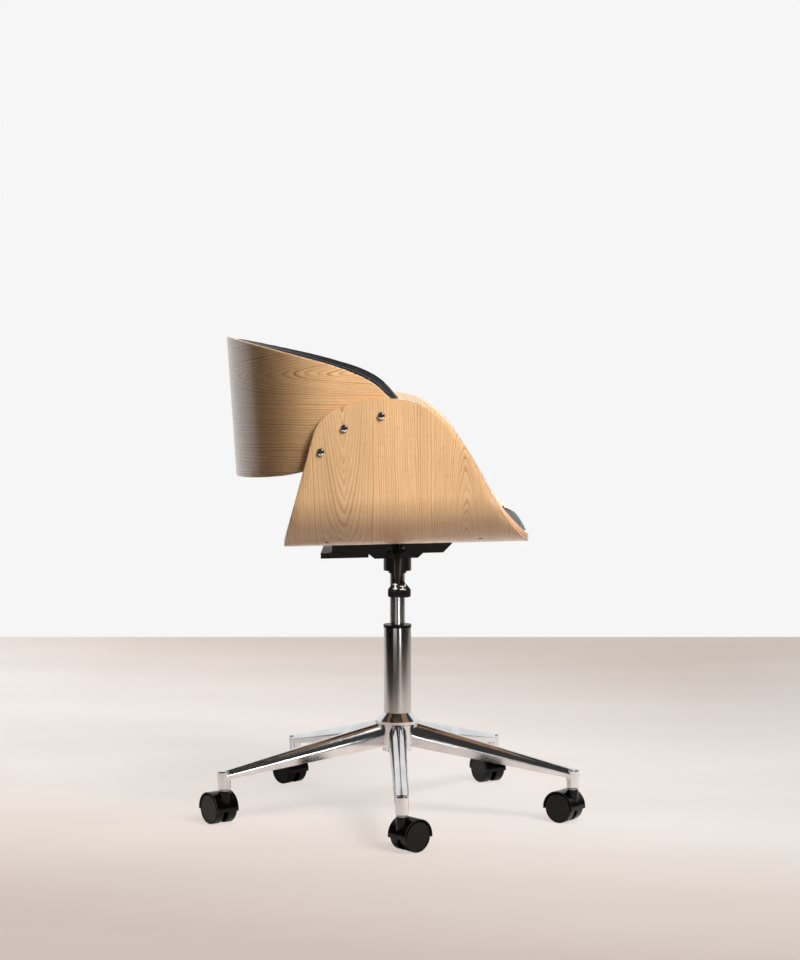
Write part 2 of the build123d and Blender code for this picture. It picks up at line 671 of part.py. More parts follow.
# Column: chromed tube with a taper below, a guide bush above and an end plate with the bearing.
column_r = column_d / 2
column_bore = column_r - column_wall
column_end_bore = column_end_d / 2 - column_wall
column_tube = turned(
    [
        (column_bore, column_top),
        (column_r, column_top),
        (column_r, column_taper_top),
        (column_end_d / 2, column_bottom),
        (column_end_bore, column_bottom),
        (column_bore, column_taper_top),
    ]
)
end_slope = (column_bore - column_end_bore) / (column_taper_top - column_bottom)
end_plate_r = column_end_bore + end_slope * column_plate
column_end_plate = turned(
    [
        (rod_end_d / 2 + running, column_bottom),
        (column_end_bore, column_bottom),
        (end_plate_r, column_bottom + column_plate),
        (rod_end_d / 2 + running, column_bottom + column_plate),
    ]
)
bush_low = column_top - bush_length
bush_high = column_top + bush_flange_h
column_bush = disc(column_d + 2 * bush_flange, column_top, bush_high)
column_bush = column_bush + disc(2 * column_bore, bush_low, column_top)
column_bush = column_bush - disc(cylinder_d + 2 * running, bush_low, bush_high)

# Hub: turned piece with a cone on top and a ring below, bored to the column's taper.
hub_outline = [
    (0, hub_top),
    (hub_top_r, hub_top),
    (hub_rim_r, hub_rim_top),
    (hub_rim_r, hub_rim_bottom),
    (hub_r, hub_rim_bottom - hub_chamfer),
    (hub_r, hub_bottom),
    (hub_ring_r, hub_bottom),
    (hub_ring_r, hub_ring_bottom),
    (0, hub_ring_bottom),
]
column_wedge = turned(
    [
        (0, column_top),
        (column_r, column_top),
        (column_r, column_taper_top),
        (column_end_d / 2, column_bottom),
        (column_end_d / 2, 0),
        (0, 0),
    ]
)
hub_solid = turned(hub_outline)
base_hub = hub_solid - column_wedge


# Leg: tapered inverted trough, rounded on top, with an upright caster socket at its end.
def leg_section(r, width, low, high, inset):
    """Section across a leg at radius r; inset draws the inside of its wall."""
    half = width / 2 - inset
    spring = high - (high - low) * leg_round_share
    rise = high - inset - spring
    bottom = low - inset
    outline = [
        Line((-half, bottom), (half, bottom)),
        Line((half, bottom), (half, spring)),
        EllipticalCenterArc((0, spring), half, rise, start_angle=0, arc_size=90),
        EllipticalCenterArc((0, spring), half, rise, start_angle=90, arc_size=90),
        Line((-half, spring), (-half, bottom)),
    ]
    return Pos(r, 0, 0) * (Plane.YZ * make_face(outline))


leg_start = hub_r - leg_sink
root_out = leg_section(leg_start, leg_root_width, leg_root_bottom, leg_root_top, 0)
tip_out = leg_section(stem_circle, leg_tip_width, leg_tip_bottom, leg_tip_top, 0)
root_in = leg_section(leg_start, leg_root_width, leg_root_bottom, leg_root_top, leg_wall)
tip_in = leg_section(stem_circle, leg_tip_width, leg_tip_bottom, leg_tip_top, leg_wall)
leg_beam = loft([root_out, tip_out], ruled=True) - loft([root_in, tip_in], ruled=True)
leg_end = disc(leg_tip_width, leg_tip_bottom, leg_tip_top - leg_end_drop)
leg_end = fillet(leg_end.edges().group_by(Axis.Z)[-1], leg_end_round)
leg_cap = disc(leg_cap_d, leg_socket_bottom, leg_tip_top - leg_cap_drop)
leg_socket = Pos(stem_circle, 0, 0) * (leg_end + leg_cap)
sleeve_hole = Pos(stem_circle, 0, 0) * disc(sleeve_d, 0, sleeve_top)
leg = leg_beam + leg_socket - sleeve_hole - hub_solid
leg_angles = [-90 + leg_turn + 360 / leg_count * i for i in range(leg_count)]
legs = [Rot(0, 0, angle) * leg for angle in leg_angles]
sleeve = disc(sleeve_d, sleeve_bottom, sleeve_top) + disc(sleeve_flange_d, sleeve_bottom, leg_socket_bottom)
sleeve = sleeve - disc(stem_d + 2 * running, 0, sleeve_top - sleeve_cap)
caster_sleeves = [Rot(0, 0, angle) * Pos(stem_circle, 0, 0) * sleeve for angle in leg_angles]

# Caster, drawn with its stem on Z and its trail along +X; the axle runs along Y.
axle_frame = Location((trail, 0, wheel_r), (-90, 0, 0))


def across(radius, y0, y1):
    """A cylinder about the axle between two places across the caster."""
    return axle_frame * disc(2 * radius, y0, y1)


hood_inner = hood_r - hood_wall
hood_ring = across(hood_r, -hood_half_width, hood_half_width)
hood_ring = hood_ring - across(hood_inner, -hood_half_width, hood_half_width)
web = across(hood_inner, -web_half_width, web_half_width)
above = Box(4 * hood_r, 4 * hood_r, 4 * hood_r, align=(Align.CENTER, Align.CENTER, Align.MIN))
above = Pos(trail, 0, wheel_r - hood_low) * above
wheel_space = wheel_r + wheel_room
boss_room = across(wheel_space, web_half_width, boss_d) + across(wheel_space, -boss_d, -web_half_width)
boss = disc(boss_d, stem_foot - boss_floor, boss_top) - boss_room
axle_lug = across(axle_lug_r, -web_half_width, web_half_width)
caster_hood = ((hood_ring + web) & above) + boss + axle_lug
caster_hood = caster_hood - disc(stem_foot_d, stem_foot, stem_step) - disc(stem_d, stem_step, stem_top)
caster_hood = caster_hood - across(axle_d / 2, -hood_r, hood_r)
caster_stem = disc(stem_d, stem_step, stem_top) + disc(stem_foot_d, stem_foot, stem_step)
caster_stem = caster_stem + disc(stem_collar_d, boss_top, boss_top + stem_collar_h)
wheel_outer = wheel_gap + wheel_width
caster_axle = across(axle_d / 2, -wheel_outer + axle_cap, wheel_outer - axle_cap)
wheel_dish_face = wheel_outer - wheel_dish
wheel_bore_end = wheel_outer - axle_cap + loose
wheel_outline = [
    (axle_d / 2 + running, wheel_gap),
    (wheel_r - wheel_inner_edge, wheel_gap),
    (wheel_r, wheel_gap + wheel_inner_edge),
    (wheel_r, wheel_outer - wheel_outer_edge[1]),
    (wheel_r - wheel_outer_edge[0], wheel_outer),
    (wheel_r - wheel_rim, wheel_outer),
    (wheel_r - wheel_dish_edge, wheel_dish_face),
    (0, wheel_dish_face),
    (0, wheel_bore_end),
    (axle_d / 2 + running, wheel_bore_end),
]
wheel = turned(wheel_outline)
wheel_left = axle_frame * wheel
wheel_right = axle_frame * Rot(180, 0, 0) * wheel

# Write one file per piece.
os.makedirs("parts", exist_ok=True)
pieces = {
    "seat_shell": seat_shell,
    "seat_cushion": seat_cushion,
    "cushion_board": cushion_board,
    "cushion_screws": [seat_frame * piece for piece in cushion_screws],
    "backrest_shell": backrest_shell,
    "backrest_pad": backrest_pad,
    "shell_bolts": [seat_frame * piece for piece in shell_bolts],
    "shell_tee_nuts": [seat_frame * piece for piece in shell_tee_nuts],
    "mechanism_plate": mechanism_plate,
    "rear_channel": rear_channel,
    "plate_bolts": [seat_frame * piece for piece in plate_bolts],
    "seat_tee_nuts": [seat_frame * piece for piece in seat_tee_nuts],
    "taper_socket": taper_socket,
    "lever_bracket": lever_bracket,
    "lever_pin": lever_pin,
    "lever_rod": lever_rod,
    "lever_handle": lever_handle,
    "gas_cylinder": gas_cylinder,
    "cylinder_seal": cylinder_seal,
    "valve_pin": valve_pin,
    "piston_rod": piston_rod,
    "piston_head": piston_head,
    "bearing_washer": bearing_washer,
    "bearing_balls": bearing_ball_ring,
    "rod_clip": rod_clip,
    "column_tube": column_tube,
    "column_end_plate": column_end_plate,
    "column_bush": column_bush,
    "base_hub": base_hub,
    "caster_sleeves": caster_sleeves,
}
for number, (angle, heading) in enumerate(zip(leg_angles, caster_headings), start=1):
    stem_x = stem_circle * cos(radians(angle))
    stem_y = stem_circle * sin(radians(angle))
    place = Location((stem_x, stem_y, 0), (0, 0, heading))
    pieces[f"base_leg_{number}"] = legs[number - 1]
    pieces[f"caster_stem_{number}"] = place * caster_stem
    pieces[f"caster_hood_{number}"] = place * caster_hood
    pieces[f"caster_axle_{number}"] = place * caster_axle
    pieces[f"caster_wheel_left_{number}"] = place * wheel_left
    pieces[f"caster_wheel_right_{number}"] = place * wheel_right
for name, shape in pieces.items():
    solid = Compound(shape) if isinstance(shape, list) else shape
    export_step(solid, f"parts/{name}.step")
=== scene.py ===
import json
import math

import bpy
import numpy as np
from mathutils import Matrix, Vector
from mathutils.bvhtree import BVHTree


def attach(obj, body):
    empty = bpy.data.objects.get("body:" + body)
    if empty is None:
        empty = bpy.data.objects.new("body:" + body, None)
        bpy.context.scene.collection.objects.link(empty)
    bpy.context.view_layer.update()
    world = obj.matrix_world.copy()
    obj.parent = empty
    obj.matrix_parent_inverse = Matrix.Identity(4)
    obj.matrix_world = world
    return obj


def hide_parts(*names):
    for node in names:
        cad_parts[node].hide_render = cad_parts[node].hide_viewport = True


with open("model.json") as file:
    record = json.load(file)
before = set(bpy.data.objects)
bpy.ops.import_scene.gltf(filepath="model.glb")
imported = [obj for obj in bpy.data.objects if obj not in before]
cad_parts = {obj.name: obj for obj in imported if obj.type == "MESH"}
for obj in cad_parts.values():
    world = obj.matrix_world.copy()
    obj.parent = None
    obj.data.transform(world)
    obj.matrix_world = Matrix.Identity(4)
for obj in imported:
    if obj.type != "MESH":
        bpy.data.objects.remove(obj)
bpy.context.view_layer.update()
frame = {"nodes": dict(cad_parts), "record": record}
nodes = frame["nodes"]
scene = bpy.context.scene
scene.view_settings.view_transform = "Standard"
mm = 0.001


def linear(hexCode):  # sRGB hex to linear colour
    channel = np.array([int(hexCode[i : i + 2], 16) for i in (1, 3, 5)]) / 255
    channel = np.where(channel <= 0.04045, channel / 12.92, ((channel + 0.055) / 1.055) ** 2.4)
    return (*channel.tolist(), 1.0)


# One node: its settings, a ramp's stops as (place, hex), then values or links on its inputs.
def addNode(tree, kind, inputs=None, stops=None, **settings):
    node = tree.nodes.new(kind)
    for name, value in settings.items():
        setattr(node, name, value)
    if stops:
        elements = node.color_ramp.elements
        while len(elements) < len(stops):
            elements.new(0.5)
        for element, (place, hexCode) in zip(elements, stops):
            element.position = place
            element.color = linear(hexCode)
    for socket, value in (inputs or {}).items():
        if isinstance(value, bpy.types.Node):
            value = value.outputs[0]
        if isinstance(value, bpy.types.NodeSocket):
            tree.links.new(value, node.inputs[socket])
        else:
            node.inputs[socket].default_value = value
    return node


def newMaterial(name):
    material = bpy.data.materials.new(name)
    material.use_nodes = True
    material.node_tree.nodes.clear()
    return material, material.node_tree


def newPiece(name, points, faces, body, material, smoothAngle=30):
    mesh = bpy.data.meshes.new(name)
    mesh.from_pydata(np.asarray(points).tolist(), [], [list(map(int, f)) for f in faces])
    mesh.shade_smooth()
    mesh.set_sharp_from_angle(angle=math.radians(smoothAngle))
    obj = bpy.data.objects.new(name, mesh)
    scene.collection.objects.link(obj)
    obj.data.materials.append(material)
    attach(obj, body)
    return obj


# Quads between the points of a grid; closed says if the rows, and the columns, run on round to the first.
def gridFaces(rows, columns, closed):
    wrapRows, wrapColumns = closed
    rowCount = rows if wrapRows else rows - 1
    columnCount = columns if wrapColumns else columns - 1
    i, j = np.meshgrid(np.arange(rowCount), np.arange(columnCount), indexing="ij")
    nextI, nextJ = (i + 1) % rows, (j + 1) % columns
    corners = [i * columns + j, i * columns + nextJ, nextI * columns + nextJ, nextI * columns + j]
    return np.stack(corners, -1).reshape(-1, 4)


# Round section carried along a path: its two axes are the path's side and up, square to the way ahead.
def tube(path, radius, sides, closed):
    steadyUp = (0.02, 0.03, 1.0)  # never along a path
    ahead = np.roll(path, -1, 0) - np.roll(path, 1, 0)
    if not closed:
        ahead[0], ahead[-1] = path[1] - path[0], path[-1] - path[-2]
    ahead /= np.linalg.norm(ahead, axis=1, keepdims=True)
    side = np.cross(ahead, steadyUp)
    side /= np.linalg.norm(side, axis=1, keepdims=True)
    up = np.cross(side, ahead)
    turn = np.linspace(0, 2 * math.pi, sides, endpoint=False)
    ring = np.cos(turn)[None, :, None] * side[:, None] + np.sin(turn)[None, :, None] * up[:, None]
    return (path[:, None] + radius * ring).reshape(-1, 3), gridFaces(len(path), sides, (closed, True))


def nodeMesh(name):  # a CAD node's points and triangles, with doubled points merged
    mesh = nodes[name].data
    points = np.empty(len(mesh.vertices) * 3)
    mesh.vertices.foreach_get("co", points)
    corners = np.empty(len(mesh.loops), dtype=np.int32)
    mesh.loops.foreach_get("vertex_index", corners)
    merged, index = np.unique(np.round(points.reshape(-1, 3), 6), axis=0, return_inverse=True)
    triangles = index.reshape(-1)[corners].reshape(-1, 3)
    isWhole = (np.diff(np.sort(triangles, axis=1), axis=1) > 0).all(1)
    return merged, triangles[isWhole]


print("stage: materials")


# Ash veneer: pale warm wood with fine dark ring lines, straight between the figures and pointed within them.
# The piece's own grain attribute holds the place across the grain, along it and through the sheet, in mm.
# Rings: distance from the figure's middle line, plus a slow climb along the grain that fades to the sides.
def ashVeneer(name, spec):
    material, tree = newMaterial(name)
    place = addNode(tree, "ShaderNodeAttribute", attribute_name="grain").outputs["Vector"]
    across, along, depth = addNode(tree, "ShaderNodeSeparateXYZ", {0: place}).outputs
    waves = [(size, 2.0, 0.5) for size, amount in spec["waves"]]
    clouds = []
    for size, detail, rough in waves + [spec["fibre"], spec["pores"], spec["broad"]]:
        scale = [1 / s for s in size]
        scaled = addNode(tree, "ShaderNodeVectorMath", {0: place, 1: scale}, operation="MULTIPLY")
        settings = {"Vector": scaled, "Scale": 1.0, "Detail": detail, "Roughness": rough}
        clouds.append(addNode(tree, "ShaderNodeTexNoise", settings).outputs[0])
    *sways, fibre, pores, broad = clouds

    rings = None
    for centre, start, core, climb, spread in spec["figures"]:
        offset = addNode(tree, "ShaderNodeMath", {0: across, 1: centre}, operation="SUBTRACT")
        square = addNode(tree, "ShaderNodeMath", {0: offset, 1: offset}, operation="MULTIPLY")
        whole = addNode(tree, "ShaderNodeMath", {0: square, 1: core * core}, operation="ADD")
        radius = addNode(tree, "ShaderNodeMath", {0: whole}, operation="SQRT")
        power = addNode(tree, "ShaderNodeMath", {0: square, 1: -1 / spread**2}, operation="MULTIPLY")
        fade = addNode(tree, "ShaderNodeMath", {0: power}, operation="EXPONENT")
        risen = {0: along, 1: climb, 2: -start * climb}
        rise = addNode(tree, "ShaderNodeMath", risen, operation="MULTIPLY_ADD")
        arch = addNode(tree, "ShaderNodeMath", {0: rise, 1: fade, 2: radius}, operation="MULTIPLY_ADD")
        if rings is None:
            rings, first = arch, centre
        else:  # past the middle of two figures the rings are counted down again
            middle = (first + centre) / 2
            turned = addNode(tree, "ShaderNodeMath", {0: centre - first, 1: arch}, operation="SUBTRACT")
            limits = {0: across, 1: middle - spec["meet"], 2: middle + spec["meet"]}
            past = addNode(tree, "ShaderNodeMapRange", limits, interpolation_type="SMOOTHSTEP")
            rings = addNode(tree, "ShaderNodeMix", {0: past, 2: rings, 3: turned}).outputs[0]
    for sway, (size, amount) in zip(sways, spec["waves"]):  # slow sway of the rings
        rings = addNode(tree, "ShaderNodeMath", {0: sway, 1: amount, 2: rings}, operation="MULTIPLY_ADD")

    # years: some grow wide and some narrow, some dark and some pale
    slow = addNode(tree, "ShaderNodeMath", {0: rings, 1: spec["change"]}, operation="DIVIDE")
    slowly = {"W": slow, "Scale": 1.0, "Detail": 1.0}
    pace = addNode(tree, "ShaderNodeTexNoise", slowly, noise_dimensions="1D")
    evenCount = addNode(tree, "ShaderNodeMath", {0: rings, 1: spec["ring"]}, operation="DIVIDE")
    paced = {0: pace, 1: spec["unequal"], 2: evenCount}
    count = addNode(tree, "ShaderNodeMath", paced, operation="MULTIPLY_ADD")
    phase = addNode(tree, "ShaderNodeMath", {0: count}, operation="FRACT")
    wood = addNode(tree, "ShaderNodeValToRGB", {0: phase}, spec["ringColours"])
    yearNumber = addNode(tree, "ShaderNodeMath", {0: count}, operation="FLOOR")
    year = addNode(tree, "ShaderNodeTexWhiteNoise", {"W": yearNumber}, noise_dimensions="1D")
    paleness = addNode(tree, "ShaderNodeMapRange", {0: year, 3: 0.0, 4: spec["palestYear"]})
    aged = {0: paleness, 6: wood, 7: linear(spec["light"])}
    ringed = addNode(tree, "ShaderNodeMix", aged, data_type="RGBA")

    # tone: fine fibres, broad clouds and painted light across the grain (on the wing a painted pool of
    # light), then dark pores
    fibreDark, fibrePale = spec["fibreTone"]
    streak = addNode(tree, "ShaderNodeMapRange", {0: fibre, 1: 0.25, 2: 0.75, 3: fibreDark, 4: fibrePale})
    broadDark, broadPale = spec["broadTone"]
    wide = addNode(tree, "ShaderNodeMapRange", {0: broad, 1: 0.3, 2: 0.7, 3: broadDark, 4: broadPale})
    # painted light across the grain: on the wing a painted pool, paler near the middle and darker toward the
    # rear and the front
    spot = addNode(tree, "ShaderNodeMapRange", {0: across, 1: -spec["paintedLightReach"], 2: spec["paintedLightReach"]})
    paintedLightAcross = addNode(tree, "ShaderNodeValToRGB", {0: spot}, spec["paintedLightAcross"])
    tone = addNode(tree, "ShaderNodeMath", {0: streak, 1: wide}, operation="MULTIPLY")
    paintedLitTone = addNode(tree, "ShaderNodeMath", {0: tone, 1: paintedLightAcross}, operation="MULTIPLY")
    toned = addNode(tree, "ShaderNodeVectorMath", {0: ringed.outputs[2], 3: paintedLitTone}, operation="SCALE")
    poreFrom, poreTo = spec["poreSpan"]
    poreLimits = {0: pores, 1: poreFrom, 2: poreTo, 3: 0.0, 4: spec["poreDepth"]}
    poreMask = addNode(tree, "ShaderNodeMapRange", poreLimits)
    pored = addNode(tree, "ShaderNodeMix", {0: poreMask, 6: toned, 7: linear(spec["pore"])}, data_type="RGBA")

    # the inner face is paler, and a cut edge shows the plies
    innerFrom, innerTo = spec["innerDepth"]
    innerLimits = {0: depth, 1: innerFrom, 2: innerTo, 3: 0.0, 4: spec["innerShare"]}
    isInner = addNode(tree, "ShaderNodeMapRange", innerLimits)
    paled = {0: isInner, 6: pored.outputs[2], 7: linear(spec["inner"])}
    faced = addNode(tree, "ShaderNodeMix", paled, data_type="RGBA")
    layers = addNode(tree, "ShaderNodeMath", {0: depth, 1: spec["layer"]}, operation="DIVIDE")
    layer = addNode(tree, "ShaderNodeMath", {0: layers, 1: 1.0}, operation="PINGPONG")
    plyTone = addNode(tree, "ShaderNodeValToRGB", {0: layer}, spec["plies"])
    edge = addNode(tree, "ShaderNodeAttribute", attribute_name="cutEdge").outputs["Fac"]
    colour = addNode(tree, "ShaderNodeMix", {0: edge, 6: faced.outputs[2], 7: plyTone}, data_type="RGBA")

    grooves = addNode(tree, "ShaderNodeMath", {0: fibre, 1: poreMask}, operation="SUBTRACT")
    relief = {"Strength": 0.2, "Distance": spec["relief"] * mm, "Height": grooves}
    glossLow, glossHigh = spec["roughness"]
    gloss = addNode(tree, "ShaderNodeMapRange", {0: fibre, 3: glossLow, 4: glossHigh})
    surface = {"Base Color": colour.outputs[2], "Roughness": gloss, "IOR": 1.5}
    surface["Normal"] = addNode(tree, "ShaderNodeBump", relief)
    surface.update({"Coat Weight": 1.0, "Coat Roughness": spec["lacquer"], "Coat IOR": 1.5})
    lacquered = addNode(tree, "ShaderNodeBsdfPrincipled", surface)
    addNode(tree, "ShaderNodeOutputMaterial", {"Surface": lacquered})
    return material


# Charcoal vinyl: fine pebbled grain with a low sheen, and painted shade in the hollows of its broad creases
# with paler crests.
def charcoalVinyl(name, spec):
    material, tree = newMaterial(name)
    place = addNode(tree, "ShaderNodeTexCoord").outputs["Object"]
    pebbled = {"Vector": place, "Scale": 1 / (spec["pebble"] * mm)}
    pebble = addNode(tree, "ShaderNodeTexVoronoi", pebbled, feature="SMOOTH_F1")
    creased = {"Vector": place, "Scale": 1 / (spec["crease"] * mm), "Detail": 3.0}
    crease = addNode(tree, "ShaderNodeTexNoise", creased)
    # painted shade: the colour follows the crease relief, darker in its hollows and paler on its crests
    colour = addNode(tree, "ShaderNodeValToRGB", {0: crease}, [(0.3, spec["dark"]), (0.7, spec["light"])])
    height = addNode(tree, "ShaderNodeMath", {0: crease, 1: 0.5, 2: pebble}, operation="MULTIPLY_ADD")
    relief = {"Strength": 0.15, "Distance": spec["relief"] * mm, "Height": height}
    low, high = spec["roughness"]
    surface = {"Base Color": colour, "IOR": 1.5, "Sheen Weight": 0.25, "Sheen Roughness": 0.4}
    surface["Roughness"] = addNode(tree, "ShaderNodeMapRange", {0: crease, 3: low, 4: high})
    surface["Normal"] = addNode(tree, "ShaderNodeBump", relief)
    addNode(tree, "ShaderNodeOutputMaterial", {"Surface": addNode(tree, "ShaderNodeBsdfPrincipled", surface)})
    return material


# Metals, plastics, print and bare plywood: a base tone with faint clouding, roughness that varies with fine
# streaks or speckle, and a shallow relief of the same streaks. Sizes are in mm.
def hardFinish(name, spec):
    cloudSize, reliefDepth = 60.0, 0.05
    material, tree = newMaterial(name)
    place = addNode(tree, "ShaderNodeTexCoord").outputs["Object"]
    scale = [1 / (s * mm) for s in spec["streak"]]
    scaled = addNode(tree, "ShaderNodeVectorMath", {0: place, 1: scale}, operation="MULTIPLY")
    fine = addNode(tree, "ShaderNodeTexNoise", {"Vector": scaled, "Scale": 1.0, "Detail": 3.0})
    clouded = {"Vector": place, "Scale": 1 / (cloudSize * mm), "Detail": 2.0}
    cloud = addNode(tree, "ShaderNodeTexNoise", clouded)
    low, high = spec["roughness"]
    relief = {"Strength": spec["relief"], "Distance": reliefDepth * mm, "Height": fine}
    surface = {"Metallic": spec["metallic"]}
    surface["Base Color"] = addNode(
        tree, "ShaderNodeValToRGB", {0: cloud}, [(0.3, spec["dark"]), (0.7, spec["light"])]
    )
    surface["Roughness"] = addNode(tree, "ShaderNodeMapRange", {0: fine, 1: 0.3, 2: 0.7, 3: low, 4: high})
    surface["Normal"] = addNode(tree, "ShaderNodeBump", relief)
    if not spec["metallic"]:  # a metal keeps the shader's own IOR
        surface.update({"IOR": spec["ior"], "Specular IOR Level": spec["specular"]})
    addNode(tree, "ShaderNodeOutputMaterial", {"Surface": addNode(tree, "ShaderNodeBsdfPrincipled", surface)})
    return material


# sizes in mm; fibre, pores and broad are a size across, along and through the sheet, detail and roughness
ash = {
    "ring": 3.6,  # mean width of a year
    "change": 20.0,
    "unequal": 2.6,
    "palestYear": 0.75,
    "meet": 35.0,
    "fibre": ((1.1, 70.0, 5.0), 5.0, 0.6),
    "fibreTone": (0.84, 1.12),
    "pores": ((0.6, 12.0, 5.0), 2.0, 0.5),
    "poreSpan": (0.56, 0.70),
    "poreDepth": 0.5,
    "broad": ((45.0, 300.0, 10.0), 2.0, 0.5),
    "broadTone": (0.92, 1.05),
    "paintedLightReach": 300.0,
    "inner": "#ead6bd",
    "innerDepth": (8.0, 11.0),
    "innerShare": 0.7,
    "layer": 2.4,
    "plies": [(0.35, "#ab7c57"), (0.6, "#d0a580")],
    "relief": 0.08,
    "roughness": (0.36, 0.50),
    "lacquer": 0.22,
}
wingWood = ashVeneer(
    "ashVeneerWing",
    {
        **ash,
        # middle across, start along, core, climb, spread
        "figures": [(-88.0, 430.0, 7.0, -0.14, 34.0), (120.0, 400.0, 7.0, 0.17, 34.0)],
        # size of each sway, and how far it moves the rings
        "waves": [((50.0, 420.0, 99.0), 15.0), ((13.0, 170.0, 99.0), 4.5), ((6.0, 55.0, 99.0), 1.5)],
        "ringColours": [
            (0.0, "#ecc496"),
            (0.45, "#e5b886"),
            (0.76, "#cb9861"),
            (0.92, "#bd8852"),
            (1.0, "#e8c093"),
        ],
        "light": "#e4b98b",
        "pore": "#a9794a",
        # painted pool of light: brightest a little ahead of the wing's middle, darker toward its rear and
        # front
        "paintedLightAcross": [(0.1, "#eeeeee"), (0.31, "#ececec"), (0.46, "#ffffff"), (0.6, "#ffffff"), (0.73, "#eeeeee")],
    },
)
backWood = ashVeneer(
    "ashVeneerBack",
    {
        **ash,
        "figures": [(302.0, 190.0, 9.0, -0.12, 40.0)],
        "waves": [((45.0, 300.0, 99.0), 16.0), ((13.0, 150.0, 99.0), 4.5), ((6.0, 55.0, 99.0), 1.5)],
        "ringColours": [
            (0.0, "#e9bf90"),
            (0.45, "#e2b37f"),
            (0.76, "#bc8550"),
            (0.92, "#aa7441"),
            (1.0, "#e4b98b"),
        ],
        "light": "#e0b384",
        "pore": "#a47244",
        # painted light across the grain: one even level on the back, with no pool
        "paintedLightAcross": [(0.0, "#f6f6f6"), (1.0, "#f6f6f6")],
    },
)
vinylSpec = {"pebble": 1.1, "crease": 14.0, "relief": 0.2, "roughness": (0.42, 0.56)}
vinyl = charcoalVinyl("charcoalVinyl", {**vinylSpec, "dark": "#171618", "light": "#201f21"})
finishes = {
    "bright_chrome": {  # polished plating: mirrors the room with slightly soft edges
        "streak": (2.0, 2.0, 2.0),
        "dark": "#d4d4d6",
        "light": "#e6e6e7",
        "roughness": (0.09, 0.14),
        "relief": 0.01,
        "metallic": 1.0,
    },
    "zinc_steel": {  # plated steel: dull grey gleam
        "streak": (1.0, 1.0, 1.0),
        "dark": "#a9abad",
        "light": "#c3c5c6",
        "roughness": (0.25, 0.38),
        "relief": 0.05,
        "metallic": 1.0,
    },
    "black_steel": {  # powder-coated steel: speckled black with broad dim shine
        "streak": (0.9, 0.9, 0.9),
        "dark": "#0e0e10",
        "light": "#161619",
        "roughness": (0.3, 0.44),
        "relief": 0.1,
        "metallic": 0.0,
        "ior": 1.5,
        "specular": 0.5,
    },
    "black_plastic": {  # moulded plastic: fine texture, weak shine
        "streak": (0.7, 0.7, 0.7),
        "dark": "#0a0a0b",
        "light": "#111113",
        "roughness": (0.28, 0.42),
        "relief": 0.08,
        "metallic": 0.0,
        "ior": 1.46,
        "specular": 0.22,
    },
    "black_nylon": {  # moulded nylon: deep black with small clear glints
        "streak": (0.6, 0.6, 0.6),
        "dark": "#020202",
        "light": "#040404",
        "roughness": (0.12, 0.19),
        "relief": 0.05,
        "metallic": 0.0,
        "ior": 1.53,
        "specular": 0.18,
    },
    "white_print": {  # pad print: flat white
        "streak": (0.5, 0.5, 0.5),
        "dark": "#d6d6d4",
        "light": "#e2e2e0",
        "roughness": (0.4, 0.5),
        "relief": 0.0,
        "metallic": 0.0,
        "ior": 1.5,
        "specular": 0.5,
    },
    "plain_plywood": {  # bare plywood: matt, with long fibres across the seat
        "streak": (1.5, 60.0, 60.0),
        "dark": "#c79b69",
        "light": "#d8b184",
        "roughness": (0.55, 0.7),
        "relief": 0.2,
        "metallic": 0.0,
        "ior": 1.5,
        "specular": 0.5,
    },
}
finish = {name: hardFinish(name, spec) for name, spec in finishes.items()}
brushed = {  # drawn tube: clear mirror image with faint upright streaks
    "streak": (0.5, 0.5, 60.0),
    "dark": "#c4c3c1",
    "light": "#d8d7d5",
    "roughness": (0.10, 0.17),
    "relief": 0.02,
    "metallic": 1.0,
}
satinSteel = hardFinish("satinSteel", brushed)
softSteel = hardFinish("softSteel", {**brushed, "roughness": (0.20, 0.28)})

slotOf = {part["node"]: part["material_slot"] for part in frame["record"]["subparts"]}
tubeSteel = {"column_tube": satinSteel, "gas_cylinder": softSteel}
for name, obj in nodes.items():
    obj.data.materials.clear()
    obj.data.materials.append(tubeSteel.get(name) or finish.get(slotOf[name], vinyl))

print("stage: shells")
seat = {"height": 513.0, "tilt": math.radians(1.4), "half": 270.0, "bend": 88.0, "ply": 12.0}
back = {"straight": -112.0, "rear": -290.2, "rearHigh": -302.6, "low": 100.0, "high": 400.0, "half": 258.0}
back["meanRadius"] = 218.0
flat = seat["half"] - seat["bend"]
quarter = flat + seat["bend"] * math.pi / 2
tiny = 1e-6


def seatLocal(points):  # world metres to the seat's own tilted millimetres
    x, y, z = points.T / mm
    c, s = math.cos(seat["tilt"]), math.sin(seat["tilt"])
    return np.stack([x * c + (z - seat["height"]) * s, y, (z - seat["height"]) * c - x * s], -1)


def seatWorld(points):  # and back
    x, y, z = points.T
    c, s = math.cos(seat["tilt"]), math.sin(seat["tilt"])
    return np.stack([x * c - z * s, y, z * c + x * s + seat["height"]], -1) * mm


# Round the U section: distance along the sheet from the seat's middle, depth from its outer face and
# outward normal.
def troughPlace(p):
    outY = np.maximum(np.abs(p[:, 1]) - flat, 0)
    downZ = np.maximum(seat["bend"] - p[:, 2], 0)
    isWing = p[:, 2] >= seat["bend"]
    angle = np.where(isWing, math.pi / 2, np.arctan2(outY, np.maximum(downZ, tiny)))
    upWing = np.maximum(p[:, 2] - seat["bend"], 0)
    along = np.minimum(np.abs(p[:, 1]), flat) + seat["bend"] * angle + upWing
    depth = seat["bend"] - np.where(isWing, outY, np.hypot(outY, downZ))
    normal = np.stack([0 * angle, np.sign(p[:, 1]) * np.sin(angle), -np.cos(angle)], -1)
    return along, depth, normal


# The other way: a distance along the sheet, a side and a depth give y and z. The sheet runs flat, then round
# the bend, then straight up.
def sheetPlace(s, side, d):
    turn = np.clip((s - flat) / seat["bend"], 0, math.pi / 2)
    r = seat["bend"] - d
    y = np.minimum(s, flat) + r * np.sin(turn)
    z = seat["bend"] - r * np.cos(turn) + np.maximum(s - quarter, 0)
    return side * y, z


